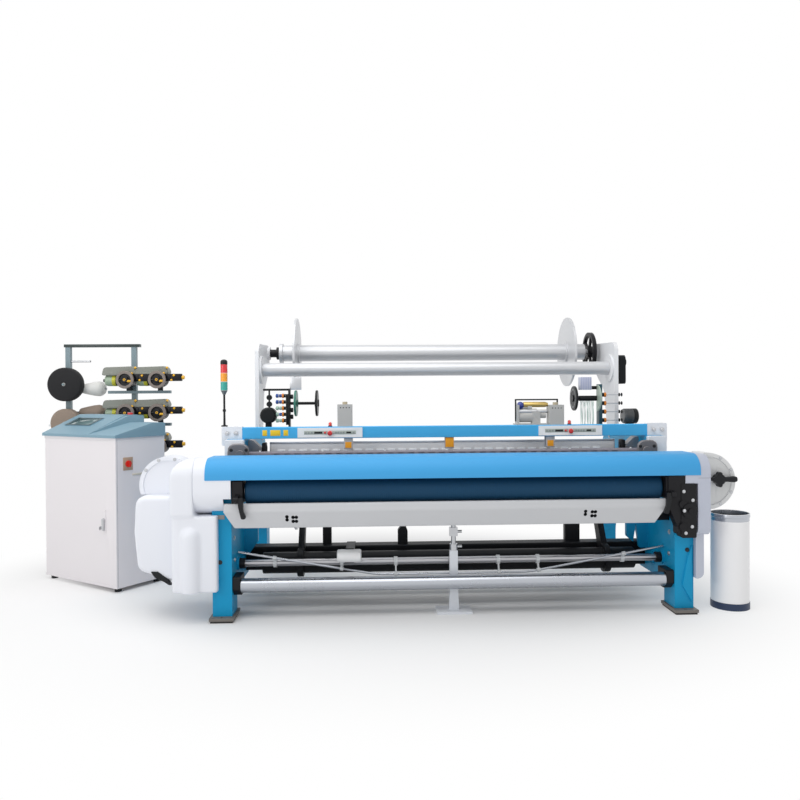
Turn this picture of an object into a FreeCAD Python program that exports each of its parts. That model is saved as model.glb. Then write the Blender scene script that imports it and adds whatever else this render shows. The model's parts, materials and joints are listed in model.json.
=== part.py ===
import FreeCAD, Part
import math
import os

# Terry rapier loom: side frames, breast beam, sley, pile beam on posts,
# drive covers, control cabinet, weft creel and selvedge can.
# Frame: X across the loom (right end +X), Y to the rear, Z up, millimetres.
# The origin is on the floor under the centre stand of the breast beam.

V = FreeCAD.Vector
os.makedirs("parts", exist_ok=True)

# ---- Driving dimensions ------------------------------------------------
frame_spacing = 2900.0        # between the middles of the side frames
frame_width = 120.0           # across one side frame
leg_front_y = -60.0           # front face of the front legs
front_leg_depth = 170.0
rear_leg_depth = 150.0
frame_depth = 1620.0          # front leg face to rear leg face
frame_top_z = 1097.0          # seat of the top beam and the posts
arch_top_z = 430.0            # underside of the frame between its legs
foot_pad_height = 12.0
foot_plate_height = 18.0
breast_height = 1010.0        # top of the breast cover
cover_wall = 3.0              # pressed covers
running_gap = 0.06            # radial gap of a shaft in its bearing
side_gap = 0.3                # between a moving face and a fixed one
skin_gap = 1.0                # between a cover and what it goes round

takeup_axis_y = -15.0
takeup_axis_z = breast_height - 210
takeup_radius = 85.0
cloth_axis_y = -12.0
cloth_axis_z = 208.0
cloth_radius = 44.0
rocker_axis_y = 300.0
rocker_axis_z = 276.0
rocker_radius = 70.0
pedal_axis_y = 142.0
pedal_axis_z = 312.0
pedal_radius = 22.0
beam_rear_y = 500.0           # rear face of the top beam
beam_height = 80.0
beam_depth = 60.0
post_height = 700.0
guide_axis_y = 1180.0
guide_axis_z = 1596.0
guide_radius = 53.0
pile_axis_y = 1560.0
pile_axis_z = 1748.0
pile_radius = 68.0
pile_flange_radius = 292.0
ground_axis_y = leg_front_y + frame_depth - rear_leg_depth / 2 - 5
ground_axis_z = 560.0
ground_radius = 85.0
ground_flange_radius = 280.0
shaft_radius = 25.0           # stub shafts of the rollers and beams
girder_rear_y = 560.0
girder_depth = 120.0
girder_bottom_z = 193.0
girder_height = 161.0

inner_x = frame_spacing / 2 - frame_width / 2
outer_x = frame_spacing / 2 + frame_width / 2
foot_top_z = foot_pad_height + foot_plate_height
leg_rear_y = leg_front_y + front_leg_depth
frame_rear_y = leg_front_y + frame_depth


# ---- Shape helpers -----------------------------------------------------
def block(x0, x1, y0, y1, z0, z1):
    """Box between two corners."""
    return Part.makeBox(x1 - x0, y1 - y0, z1 - z0, V(x0, y0, z0))


def rod(x, y, z, radius, length, axis):
    """Cylinder that starts at a point and runs along axis 'x', 'y' or 'z'."""
    way = {"x": V(1, 0, 0), "y": V(0, 1, 0), "z": V(0, 0, 1)}[axis]
    return Part.makeCylinder(radius, length, V(x, y, z), way)


def ring(x, y, z, outer, inner, length, axis):
    """Cylinder with a coaxial bore right through."""
    return rod(x, y, z, outer, length, axis).cut(rod(x, y, z, inner, length, axis))


def outline(corners, place):
    """Closed wire through corners (a, b) or (a, b, r), where r rounds that corner."""
    flat = [V(c[0], c[1], 0) for c in corners]
    edges = []
    ends = []
    for i, corner in enumerate(corners):
        here = flat[i]
        if len(corner) < 3:
            ends.append((here, here))
            continue
        back = (flat[i - 1] - here).normalize()
        ahead = (flat[(i + 1) % len(flat)] - here).normalize()
        half = back.getAngle(ahead) / 2
        reach = corner[2] / math.tan(half)
        inward = (back + ahead).normalize()
        middle = here + inward * (corner[2] / math.sin(half) - corner[2])
        start = here + back * reach
        end = here + ahead * reach
        edges.append(Part.Arc(place(start), place(middle), place(end)).toShape())
        ends.append((start, end))
    for i in range(len(flat)):
        start = ends[i][1]
        end = ends[(i + 1) % len(flat)][0]
        if start.distanceToPoint(end) > 1e-6:
            edges.append(Part.LineSegment(place(start), place(end)).toShape())
    return Part.Wire(Part.__sortEdges__(edges))


def prism(corners, axis, start, length):
    """Outline carried along an axis: (y, z) on 'x', (x, z) on 'y', (x, y) on 'z'."""
    if axis == "x":
        wire = outline(corners, lambda p: V(start, p.x, p.y))
        return Part.Face(wire).extrude(V(length, 0, 0))
    if axis == "y":
        wire = outline(corners, lambda p: V(p.x, start, p.y))
        return Part.Face(wire).extrude(V(0, length, 0))
    wire = outline(corners, lambda p: V(p.x, p.y, start))
    return Part.Face(wire).extrude(V(0, 0, length))


def turned(profile, origin, axis):
    """Solid of revolution; profile is (along, radius) points, closed through the axis."""
    way = {"x": V(1, 0, 0), "y": V(0, 1, 0), "z": V(0, 0, 1)}[axis]
    side = {"x": V(0, 0, 1), "y": V(0, 0, 1), "z": V(1, 0, 0)}[axis]
    points = [V(*origin) + way * a + side * r for a, r in profile]
    points.append(points[0])
    return Part.Face(Part.makePolygon(points)).revolve(V(*origin), way, 360)


def mirrored(shape):
    """The same shape on the other side of the loom."""
    return shape.mirror(V(0, 0, 0), V(1, 0, 0))


def join(shapes):
    """One solid of pieces that are welded, cast or moulded together."""
    return shapes[0].multiFuse(shapes[1:]).removeSplitter()


def save(name, shape):
    """Write one node."""
    shape.exportStep("parts/" + name + ".step")


# ---- Side frames: cast plates on two legs, blue ------------------------
window_front_y = 640.0
window_rear_rail = 380.0      # frame behind the window, at its lower edge
window_rear_y = frame_rear_y - window_rear_rail
window_bottom_z = 600.0
window_top_z = 940.0
beam_seat_front_y = beam_rear_y - beam_depth - 40
frame_saddle_z = breast_height - 80
frame_head_rear_y = 160.0
frame_head_z = breast_height - cover_wall
knee_bottom_z = 165.0         # lowest point of the knee that carries the shafts
knee_rear_y = girder_rear_y + 20
post_front_y = 1060.0
post_foot_depth = 200.0
bearing_depth = 60.0          # blind bores for the stub shafts
boss_radius = 44.0
boss_height = 12.0
frame_bearings = [(takeup_axis_y, takeup_axis_z, shaft_radius),
                  (rocker_axis_y, rocker_axis_z, shaft_radius),
                  (ground_axis_y, ground_axis_z, shaft_radius),
                  (pedal_axis_y, pedal_axis_z, pedal_radius)]


def side_frame():
    """Left side frame: legs, knee under the shafts, head, saddle and window."""
    top_rear = post_front_y + post_foot_depth + 50
    rear_inner = frame_rear_y - rear_leg_depth
    body = prism([
        (leg_front_y, foot_top_z), (leg_front_y, frame_head_z, 45),
        (frame_head_rear_y, frame_head_z, 20), (frame_head_rear_y + 30, frame_saddle_z, 40),
        (beam_seat_front_y - 40, frame_saddle_z, 40), (beam_seat_front_y, frame_top_z, 8),
        (top_rear, frame_top_z, 60), (frame_rear_y, frame_top_z - 330, 80),
        (frame_rear_y, foot_top_z), (rear_inner, foot_top_z), (rear_inner, arch_top_z, 190),
        (knee_rear_y + 40, arch_top_z, 120), (knee_rear_y, knee_bottom_z, 60),
        (leg_rear_y, knee_bottom_z, 40), (leg_rear_y, foot_top_z)],
        "x", -outer_x, frame_width)
    body = body.cut(prism([
        (window_front_y, window_bottom_z, 60), (window_rear_y, window_bottom_z, 60),
        (window_rear_y + 60, window_top_z - 120, 60), (window_rear_y - 60, window_top_z, 60),
        (window_front_y, window_top_z, 60)], "x", -outer_x, frame_width))
    for y, z, radius in frame_bearings:
        body = body.fuse(rod(-inner_x, y, z, boss_radius, boss_height, "x"))
    for y, z, radius in frame_bearings:
        start = -inner_x + boss_height - bearing_depth
        body = body.cut(rod(start, y, z, radius + running_gap, bearing_depth, "x"))
    return body.removeSplitter()


bearing_x = inner_x - boss_height              # inner face of the bosses
bore_end_x = bearing_x + bearing_depth         # bottom of the blind bores
rib_thickness = 30.0
rib_front_y = rocker_axis_y + rocker_radius + 20
rib_drop = 300.0                               # height of the inner ribs
left_rib_reach = 90.0
right_rib_reach = 150.0


def inner_rib(reach, notch):
    """Cast rib across the knee of a frame, on the left side; notch opens its lower edge."""
    top = arch_top_z + 190
    rib = prism([(-inner_x - 1, top - rib_drop), (-inner_x + reach * 0.35, top - rib_drop),
                 (-inner_x + reach, top - rib_drop * 0.72, 20), (-inner_x + reach, top, 10),
                 (-inner_x - 1, top)], "y", rib_front_y, rib_thickness)
    if notch:
        middle = -inner_x + reach * 0.55
        rib = rib.cut(prism([(middle - 60, 0), (middle, top - 130), (middle + 75, 0)],
                            "y", rib_front_y, rib_thickness))
    return rib


left_frame = join([side_frame(), inner_rib(left_rib_reach, False)])
right_frame = mirrored(join([side_frame(), inner_rib(right_rib_reach, True)]))
# The right front leg carries a tapered stiffening rib on its face
leg_rib_depth = 14.0
leg_rib = prism([(outer_x - 14, foot_top_z + 40), (outer_x - 75, foot_top_z + 150),
                 (outer_x - 40, 360), (outer_x - 14, 430)],
                "y", leg_front_y - leg_rib_depth, leg_rib_depth)
right_frame = join([right_frame, leg_rib])
save("left_side_frame", left_frame)
save("right_side_frame", right_frame)

# ---- Foot plates with anchor holes, on rubber pads ---------------------
foot_plate_width = 150.0
foot_plate_depth = 230.0
foot_pad_inset = 6.0
anchor_hole_radius = 9.0
pad_hole_radius = 12.0
anchor_inset = 26.0
foot_middles = [(leg_front_y + leg_rear_y) / 2 - 15, frame_rear_y - rear_leg_depth / 2 + 15]


def foot_blanks(inset, hole_radius, z0, z1):
    """Four plates under the legs, each drilled for its anchor bolt at the free end."""
    plates = []
    for side in (-1, 1):
        for row, middle in enumerate(foot_middles):
            x = side * frame_spacing / 2
            half_x = foot_plate_width / 2 - inset
            half_y = foot_plate_depth / 2 - inset
            free_end = (-1, 1)[row] * (foot_plate_depth / 2 - anchor_inset)
            plate = block(x - half_x, x + half_x, middle - half_y, middle + half_y, z0, z1)
            hole = rod(x, middle + free_end, z0, hole_radius, z1 - z0, "z")
            plates.append(plate.cut(hole))
    return Part.makeCompound(plates)


save("foot_pads", foot_blanks(foot_pad_inset, pad_hole_radius, 0, foot_pad_height))
save("foot_plates", foot_blanks(0, anchor_hole_radius, foot_pad_height,
                                 foot_top_z))

# ---- Top beam on its end brackets, with the two signal panels ----------
beam_half = inner_x + 20.0
beam_front_y = beam_rear_y - beam_depth
beam_top_z = frame_top_z + beam_height
bracket_reach = 40.0
bracket_drop = 45.0
bracket_rise = 6.0
bolt_head_radius = 11.0
bolt_head_height = 7.0
beam = prism([(beam_front_y, frame_top_z), (beam_front_y, beam_top_z, 6),
              (beam_rear_y, beam_top_z, 6), (beam_rear_y, frame_top_z)],
             "x", -beam_half, 2 * beam_half)
save("top_beam", beam)


def beam_bracket():
    """Right end bracket: cap on the frame, lip over its outer face, two bolt heads."""
    outer = outer_x + bracket_reach
    cap = prism([(beam_half, frame_top_z), (beam_half, beam_top_z + bracket_rise, 6),
                 (outer, beam_top_z + bracket_rise, 12), (outer, frame_top_z - bracket_drop, 12),
                 (outer_x, frame_top_z - bracket_drop), (outer_x, frame_top_z)],
                "y", beam_front_y, beam_depth)
    heads = []
    for share in (0.3, 0.72):
        x = beam_half + (outer - beam_half) * share
        z = frame_top_z + beam_height / 2
        heads.append(rod(x, beam_front_y - bolt_head_height, z, bolt_head_radius,
                         bolt_head_height, "y"))
    return join([cap] + heads)


save("beam_brackets", Part.makeCompound([mirrored(beam_bracket()), beam_bracket()]))

panel_depth = 8.0
panel_width = 446.0
panel_margin = 6.0
panel_middles = {"left": -808.0, "right": 864.0}
screen_width = 360.0
screen_height = 26.0
stop_hole_radius = 9.0
stop_head_radius = 17.0
stop_travel = 5.0
stop_axis_z = frame_top_z + beam_height * 0.45


def signal_panel(middle):
    """Moulded panel on the beam face, with its recessed strip and the button's hole."""
    half = panel_width / 2
    front = beam_front_y - panel_depth
    body = block(middle - half, middle + half, front, beam_front_y,
                 frame_top_z + panel_margin, beam_top_z - panel_margin)
    strip_z = frame_top_z + beam_height / 2
    recess = block(middle - screen_width / 2, middle + screen_width / 2, front, front + 2,
                   strip_z - screen_height / 2, strip_z + screen_height / 2)
    hole = rod(middle, front, stop_axis_z, stop_hole_radius, panel_depth, "y")
    return body.cut(recess).cut(hole)


def stop_button(middle):
    """Mushroom button with its stem in the panel's hole."""
    front = beam_front_y - panel_depth
    stem = rod(middle, front - stop_travel - side_gap, stop_axis_z, stop_hole_radius - 0.05,
               panel_depth + side_gap - 0.4, "y")
    back = -side_gap - stop_travel
    head = turned([(back - 16, 0), (back - 16, stop_head_radius * 0.7),
                   (back - 11, stop_head_radius), (back, stop_head_radius * 0.8),
                   (back, 0)], (middle, front, stop_axis_z), "y")
    return join([stem, head])


for side_name, middle in panel_middles.items():
    save(side_name + "_stop_button", stop_button(middle))
save("signal_panels", Part.makeCompound([signal_panel(x) for x in panel_middles.values()]))

# ---- Breast cover, roller cover, breast panel --------------------------
cover_left_x = -1537.0
cover_right_x = 1528.0
collar_left_x = -1609.0
cover_front_y = -135.0
cover_rear_y = 140.0
cover_bend = 110.0
cover_lip_z = breast_height - 130
end_cover_wall = 4.0
collar_inner_x = -1380.0
collar_step_x = -1428.0         # the collar is cut away here for the breast panel
collar_step_z = breast_height - 245
collar_bottom_z = breast_height - 348
collar_bend = 150.0


def cover_profile(wall):
    """Outline of the breast cover's curve, wall inside its outer face, as a solid bar."""
    front = cover_front_y + wall
    top = breast_height - wall
    return [(front, cover_lip_z - 400), (front, top, cover_bend - wall), (cover_rear_y, top),
            (cover_rear_y, cover_lip_z - 400)]


length = cover_right_x - cover_left_x
cover = prism(cover_profile(0), "x", cover_left_x, length)
cover = cover.cut(prism(cover_profile(cover_wall), "x", cover_left_x, length))
cover = cover.cut(block(cover_left_x, cover_right_x, cover_front_y, cover_rear_y,
                        cover_lip_z - 400, cover_lip_z))
save("breast_cover", cover)


def frame_room(side):
    """The space of a side frame and its skin gap, as seen by the covers."""
    x0 = side * frame_spacing / 2 - frame_width / 2 - side_gap
    return block(x0, x0 + frame_width + 2 * side_gap, leg_front_y - side_gap,
                 frame_rear_y, 0, breast_height)


def end_profile(bottom, bend, inset):
    """Outline of an end cover that continues the breast cover's curve downwards."""
    front = cover_front_y + cover_wall + side_gap + inset
    top = breast_height - cover_wall - side_gap - inset
    rear = cover_rear_y - 40 - inset
    return [(front, bottom + inset, bend), (front, top, cover_bend - cover_wall - inset),
            (rear, top), (rear, bottom + inset, 15)]


collar = prism(end_profile(collar_bottom_z, collar_bend, 0), "x",
               collar_left_x, collar_inner_x - collar_left_x)
collar_core = prism(end_profile(collar_bottom_z, collar_bend - end_cover_wall, end_cover_wall),
                    "x", collar_left_x + end_cover_wall, collar_inner_x - collar_left_x)
collar = collar.cut(collar_core).cut(frame_room(-1))
save("left_roller_cover", collar.cut(block(collar_step_x, collar_inner_x + 1, -200, 200,
                                           collar_bottom_z - 1, collar_step_z)))

breast_panel_left_x = -1425.0
breast_panel_right_x = 1310.0
breast_panel_slant = 62.0
breast_panel_top_drop = 275.0      # below the top of the breast cover
breast_panel_bottom_drop = 430.0
breast_panel_crease_drop = 324.0
breast_panel_top_z = breast_height - breast_panel_top_drop
breast_panel_bottom_z = breast_height - breast_panel_bottom_drop
breast_panel_crease_z = breast_height - breast_panel_crease_drop
breast_panel_front_y = -128.0
panel_sheet = 3.0
panel_lip = 20.0              # folded down behind the top edge, in front of the roller


def breast_fold(inset):
    """Folded section of the breast panel, bellied out at its crease."""
    back = leg_front_y
    lip = takeup_axis_y - takeup_radius - skin_gap
    return [(back, breast_panel_bottom_z + inset), (breast_panel_front_y + 34 + inset,
                                                    breast_panel_bottom_z + inset, 10),
            (breast_panel_front_y + inset, breast_panel_crease_z, 30),
            (breast_panel_front_y + 10 + inset, breast_panel_top_z - inset, 12),
            (lip, breast_panel_top_z - inset), (lip, breast_panel_top_z - panel_lip)]


length = breast_panel_right_x - breast_panel_left_x
breast_panel = prism(breast_fold(0), "x", breast_panel_left_x, length)
breast_panel = breast_panel.cut(prism(breast_fold(panel_sheet), "x", breast_panel_left_x, length))
for end, side in ((breast_panel_left_x, 1), (breast_panel_right_x, -1)):
    corner = prism([(end - side, breast_panel_bottom_z - 1),
                    (end + side * breast_panel_slant, breast_panel_bottom_z - 1),
                    (end - side, breast_panel_crease_z)], "y", breast_panel_front_y - 1, 90)
    breast_panel = breast_panel.cut(corner)
slot_length = 20.0
slot_radius = 11.0
slot_places = [(-1042.0, 62.0, True), (-995.0, 68.0, False), (-995.0, 42.0, False),
               (805.0, 72.0, True), (857.0, 78.0, False), (857.0, 52.0, False)]
for x, rise, tall in slot_places:
    z = breast_panel_bottom_z + rise
    dx = 0 if tall else slot_length / 2
    dz = slot_length / 2 if tall else 0
    for shift in (-1, 1):
        breast_panel = breast_panel.cut(rod(x + shift * dx, breast_panel_front_y - 5,
                                            z + shift * dz, slot_radius, 60, "y"))
save("breast_panel", breast_panel)

# ---- Take-up roller, its bearings, gearbox and release levers ----------
roller_half = 1302.0
bearing_block_inner_x = roller_half + 10
bearing_block_front_y = takeup_axis_y - takeup_radius - 18
bearing_block_rear_y = takeup_axis_y + 60
bearing_block_bottom_z = breast_panel_top_z + side_gap
lever_axis_y = breast_panel_front_y - 20
lever_axis_z = breast_height - 246
lever_shaft_radius = 9.0
lever_lug_radius = 17.0
lever_lug_length = 22.0
lever_grip_length = 118.0
lever_grip_width = 30.0
lever_grip_thickness = 22.0
shaft_end_x = bore_end_x - 8


def roller(half, radius, y, z, stub, stub_end):
    """Plain roller with a stub shaft at each end."""
    body = rod(-half, y, z, radius, 2 * half, "x")
    return join([body, rod(-stub_end, y, z, stub, 2 * stub_end, "x")])


save("takeup_roller", roller(roller_half, takeup_radius, takeup_axis_y, takeup_axis_z,
                             shaft_radius, shaft_end_x))


def bearing_block():
    """Right bearing block of the roller, with the lug that carries the lever."""
    front = bearing_block_front_y
    lug_x = bearing_block_inner_x + 20
    body = prism([(front, bearing_block_bottom_z, 12), (front, cover_lip_z - 2, 12),
                  (bearing_block_rear_y, cover_lip_z - 2, 30),
                  (bearing_block_rear_y, bearing_block_bottom_z, 30)],
                 "x", bearing_block_inner_x, bearing_x - bearing_block_inner_x)
    arm = prism([(front + 20, lever_axis_z - lever_lug_radius), (front + 20, lever_axis_z + 40),
                 (lever_axis_y, lever_axis_z + lever_lug_radius),
                 (lever_axis_y, lever_axis_z - lever_lug_radius)], "x", lug_x, lever_lug_length)
    lug = rod(lug_x, lever_axis_y, lever_axis_z, lever_lug_radius, lever_lug_length, "x")
    body = join([body, arm, lug])
    body = body.cut(rod(bearing_block_inner_x, takeup_axis_y, takeup_axis_z,
                        shaft_radius + skin_gap, 200, "x"))
    return body.cut(rod(lug_x, lever_axis_y, lever_axis_z,
                        lever_shaft_radius + running_gap, lever_lug_length, "x"))


save("takeup_left_bearing", mirrored(bearing_block()))

gearbox_outer_x = 1498.0
gearbox_front_y = cover_front_y
gearbox_bottom_z = breast_height - 520
gearbox_top_z = breast_height - 184
gearbox_cover_z = breast_height - 350
gearbox_cover_radius = 46.0
strap_bend_z = breast_height - 320     # the strap leaves the bearing block here
strap_foot_z = breast_height - 450     # and runs straight down from here
gearbox = prism([(inner_x + 12, gearbox_bottom_z, 10), (gearbox_outer_x, gearbox_bottom_z, 10),
                 (gearbox_outer_x, gearbox_top_z, 10), (inner_x + 12, gearbox_top_z, 10)],
                "y", gearbox_front_y, leg_front_y - gearbox_front_y)
gearbox = gearbox.fuse(rod(gearbox_outer_x - gearbox_cover_radius, gearbox_front_y - 14,
                          gearbox_cover_z,
                           gearbox_cover_radius, 20, "y"))
gearbox = gearbox.fuse(rod(gearbox_outer_x - gearbox_cover_radius, gearbox_front_y - 26,
                          gearbox_cover_z,
                           14, 20, "y"))
strap = prism([(bearing_block_inner_x + 12, cover_lip_z - 4, 10),
               (bearing_block_inner_x + 12, strap_bend_z, 120), (inner_x - 10, strap_foot_z, 60),
               (inner_x - 10, gearbox_bottom_z + 20, 8), (inner_x + 40, gearbox_bottom_z + 20),
               (inner_x + 40, cover_lip_z - 4)],
              "y", bearing_block_front_y - 12, leg_front_y - bearing_block_front_y + 12)
gearbox = join([gearbox, strap, bearing_block()])
for z in (strap_bend_z + 10, strap_foot_z):
    gearbox = gearbox.fuse(rod(inner_x + 22, bearing_block_front_y - 24, z, 24, 20, "y"))
gearbox = gearbox.cut(rod(bearing_block_inner_x, takeup_axis_y, takeup_axis_z,
                          shaft_radius + skin_gap, 200, "x"))
save("takeup_gearbox", gearbox.removeSplitter())


def release_lever():
    """Right lever: cross shaft in the lug and a flat curved grip that hangs down."""
    lug_x = bearing_block_inner_x + 20
    grip_x = lug_x - side_gap - lever_grip_width
    shaft = rod(grip_x + 6, lever_axis_y, lever_axis_z, lever_shaft_radius,
                lug_x + lever_lug_length + 8 - grip_x - 6, "x")
    collar = rod(lug_x + lever_lug_length + side_gap, lever_axis_y, lever_axis_z, 14, 7.5, "x")
    low = lever_axis_z - lever_grip_length
    grip = prism([(grip_x, lever_axis_z + 12, 10), (grip_x + lever_grip_width,
                                                   lever_axis_z + 12, 10),
                  (grip_x + lever_grip_width, lever_axis_z - 40, 60),
                  (grip_x + 12, low, 12), (grip_x - 22, low, 12), (grip_x, low + 50, 40)],
                 "y", lever_axis_y - lever_grip_thickness / 2, lever_grip_thickness)
    return join([shaft, collar, grip])


save("right_release_lever", release_lever())
save("left_release_lever", mirrored(release_lever()))

# ---- Breast beam behind the panel, on the centre stand -----------------
breast_beam_front_y = 20.0
breast_beam_depth = 90.0
breast_beam_drop = 435.0
breast_beam_bottom_z = breast_height - breast_beam_drop
breast_beam_height = 122.0
breast_beam = block(-inner_x, inner_x, breast_beam_front_y,
                    breast_beam_front_y + breast_beam_depth, breast_beam_bottom_z,
                    breast_beam_bottom_z + breast_beam_height)
save("breast_beam", breast_beam)

stand_y = 68.0
stand_column_depth = 40.0
stand_column_width = 52.0
stand_foot_width = 226.0
stand_foot_depth = 150.0
stand_foot_height = 14.0
stand_split_z = breast_beam_bottom_z - 180
stand_rod_radius = 15.0
stand_head_width = 104.0
stand_head_height = 14.0
stand_bore_depth = 90.0
stand_low_y = stand_y - stand_column_depth / 2
half_width = stand_column_width / 2
half_foot = stand_foot_width / 2
foot = block(-half_foot, half_foot, stand_y - stand_foot_depth / 2,
             stand_y + stand_foot_depth / 2, 0, stand_foot_height)
column = prism([(-half_width - 8, 0), (half_width + 8, 0), (half_width, 150),
                (half_width, stand_split_z, 6), (-half_width, stand_split_z, 6),
                (-half_width, 150)], "y", stand_low_y, stand_column_depth)
stand = join([foot, column])
stand = stand.cut(rod(0, stand_y, stand_split_z - stand_bore_depth, stand_rod_radius + 0.3,
                      stand_bore_depth, "z"))
save("centre_stand", stand)

adjuster_nut_height = 40.0
head_bottom_z = breast_beam_bottom_z - stand_head_height
spindle = rod(0, stand_y, stand_split_z - stand_bore_depth + 10, stand_rod_radius,
              head_bottom_z - stand_split_z + stand_bore_depth - 10, "z")
nut = rod(0, stand_y, stand_split_z + side_gap, half_width, adjuster_nut_height, "z")
half_head = stand_head_width / 2
head = block(-half_head, half_head, stand_low_y - 10, stand_low_y + stand_column_depth + 10,
             head_bottom_z, breast_beam_bottom_z)
clamp = block(-half_width, half_width, stand_low_y, stand_low_y + stand_column_depth,
              head_bottom_z - 75, head_bottom_z - 20)
knobs = [rod(half_width - 2, stand_y, z, 9, 30, "x")
         for z in (stand_split_z + 22, head_bottom_z - 48)]
save("stand_adjuster", join([spindle, nut, head, clamp] + knobs))

# ---- Cloth roller in its brackets on the legs --------------------------
cloth_half = inner_x - 50
cloth_stub_radius = 15.0
cloth_bracket_rise = 62.0
cloth_bracket_front_y = cloth_axis_y - 40


def cloth_bracket():
    """Right bracket: tapered block on the leg with the roller's bore."""
    low = cloth_axis_z - cloth_bracket_rise
    high = cloth_axis_z + cloth_bracket_rise
    body = prism([(cloth_bracket_front_y, cloth_axis_z - 20, 20),
                  (cloth_bracket_front_y, high, 14), (leg_rear_y - 20, high, 10),
                  (leg_rear_y - 20, low, 10), (cloth_axis_y + 10, low, 20)],
                 "x", cloth_half + side_gap, inner_x - cloth_half - side_gap)
    return body.cut(rod(cloth_half, cloth_axis_y, cloth_axis_z,
                        cloth_stub_radius + running_gap, 100, "x"))


save("cloth_roller_brackets", Part.makeCompound([mirrored(cloth_bracket()), cloth_bracket()]))
save("cloth_roller", roller(cloth_half, cloth_radius, cloth_axis_y, cloth_axis_z,
                            cloth_stub_radius, inner_x - side_gap))

# ---- Foot control: cross tube, clamps and the long bent bar ------------
pedal_collar_radius = 34.0
pedal_collar_length = 36.0
foot_bar_radius = 7.0
foot_bar_y = pedal_axis_y - 38
foot_bar_end_x = inner_x - 8
foot_bar_end_z = 392.0
foot_bar_flat_x = 490.0
foot_bar_flat_z = 236.0
foot_bar_bend = 700.0
clamp_places = [-1150.0, -720.0, -370.0, 300.0, 560.0, 1120.0]
clamp_radius = 29.0
clamp_length = 22.0
clamp_sleeve_radius = 13.0
link_half_width = 7.0
link_thickness = 10.0
save("pedal_shaft", rod(-shaft_end_x, pedal_axis_y, pedal_axis_z, pedal_radius,
                        2 * shaft_end_x, "x"))
collars = [ring(side * bearing_x - (pedal_collar_length if side > 0 else 0), pedal_axis_y,
                pedal_axis_z, pedal_collar_radius, pedal_radius + running_gap,
                pedal_collar_length, "x") for side in (-1, 1)]
save("pedal_bearings", Part.makeCompound(collars))


def foot_bar_route():
    """The bar's middle line: down from each frame to a flat run, with two long bends."""
    slope = math.atan2(foot_bar_end_z - foot_bar_flat_z, foot_bar_end_x - foot_bar_flat_x)
    reach = foot_bar_bend * math.tan(slope / 2)
    edges = []
    last = V(-foot_bar_end_x, foot_bar_y, foot_bar_end_z)
    for side in (-1, 1):
        corner = V(side * foot_bar_flat_x, foot_bar_y, foot_bar_flat_z)
        outward = V(side * math.cos(slope), 0, math.sin(slope))
        inward = V(-side, 0, 0)
        first, second = (outward, inward) if side < 0 else (inward, outward)
        start = corner + first * reach
        end = corner + second * reach
        bisect = (first + second).normalize()
        middle = corner + bisect * (foot_bar_bend / math.cos(slope / 2) - foot_bar_bend)
        edges.append(Part.LineSegment(last, start).toShape())
        edges.append(Part.Arc(start, middle, end).toShape())
        last = end
    edges.append(Part.LineSegment(last, V(foot_bar_end_x, foot_bar_y, foot_bar_end_z)).toShape())
    return Part.Wire(edges), slope


route, bar_slope = foot_bar_route()
bar_start = route.Vertexes[0].Point
circle = Part.Circle(bar_start, V(math.cos(bar_slope), 0, -math.sin(bar_slope)), foot_bar_radius)
section = Part.Wire(circle.toShape())
foot_bar = route.makePipeShell([section], True, True)
save("foot_bar", foot_bar)


def bar_height(x):
    """Height of the bar's middle line near a place along it, off its bends."""
    past = max(0.0, abs(x) - foot_bar_flat_x)
    return foot_bar_flat_z + past * math.tan(bar_slope)


def pedal_clamp(x):
    """Split clamp on the tube with a flat link to the sleeve that holds the bar."""
    x0 = x - clamp_length / 2
    z = bar_height(x)
    hold = rod(x0, pedal_axis_y, pedal_axis_z, clamp_radius, clamp_length, "x")
    rise = bar_slope if x > foot_bar_flat_x else -bar_slope if x < -foot_bar_flat_x else 0
    along = V(math.cos(rise), 0, math.sin(rise))
    middle = V(x, foot_bar_y, z)
    sleeve = Part.makeCylinder(clamp_sleeve_radius, clamp_length,
                               middle - along * clamp_length / 2, along)
    seat = Part.makeCylinder(foot_bar_radius, 2 * clamp_length, middle - along * clamp_length,
                             along)
    run = (V(0, pedal_axis_y, pedal_axis_z) - V(0, foot_bar_y, z)).normalize()
    across = V(0, -run.z, run.y) * link_half_width
    bar_end = V(0, foot_bar_y, z) + run * foot_bar_radius
    tube_end = V(0, pedal_axis_y, pedal_axis_z) - run * pedal_radius
    link = prism([(p.y, p.z) for p in (bar_end + across, tube_end + across, tube_end - across,
                                       bar_end - across)],
                 "x", x - link_thickness / 2, link_thickness)
    body = join([hold, link, sleeve]).cut(seat)
    return body.cut(rod(x0 - 1, pedal_axis_y, pedal_axis_z, pedal_radius,
                        clamp_length + 2, "x"))


save("pedal_clamps", Part.makeCompound([pedal_clamp(x) for x in clamp_places]))

# ---- Rear girder, temple rail and what stands on them -----------------
girder_front_y = girder_rear_y - girder_depth
girder_top_z = girder_bottom_z + girder_height
girder_leg_places = [(-838.0, 60.0), (892.0, 104.0)]
girder_leg_depth = 50.0
rail_height = 62.0
rail_depth = 70.0
rail_bottom_z = 946.0
rail_slot_count = 34
rail_slot_length = 42.0
rail_slot_depth = 14.0
rail_front_y = girder_rear_y - 10 - girder_leg_depth - rail_depth
filter_arm_width = 60.0
filter_y = 60.0
filter_radius = 41.0
filter_length = 154.0
filter_x = -669.0
filter_z = 368.0
filter_band = 6.0
filter_edge = 7.0             # bevel round both ends
filter_arm_height = 18.0      # the arm passes over both shafts
girder = block(-inner_x, inner_x, girder_front_y, girder_rear_y, girder_bottom_z, girder_top_z)
girder = girder.makeFillet(10, [e for e in girder.Edges if e.Length > 2 * inner_x - 1])
for x, width in girder_leg_places:
    leg_rear = girder_rear_y - 10
    girder = girder.fuse(block(x - width / 2, x + width / 2, leg_rear - girder_leg_depth,
                               leg_rear, girder_top_z - 1, rail_bottom_z + 40))
filter_x0 = filter_x - filter_length / 2
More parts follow.
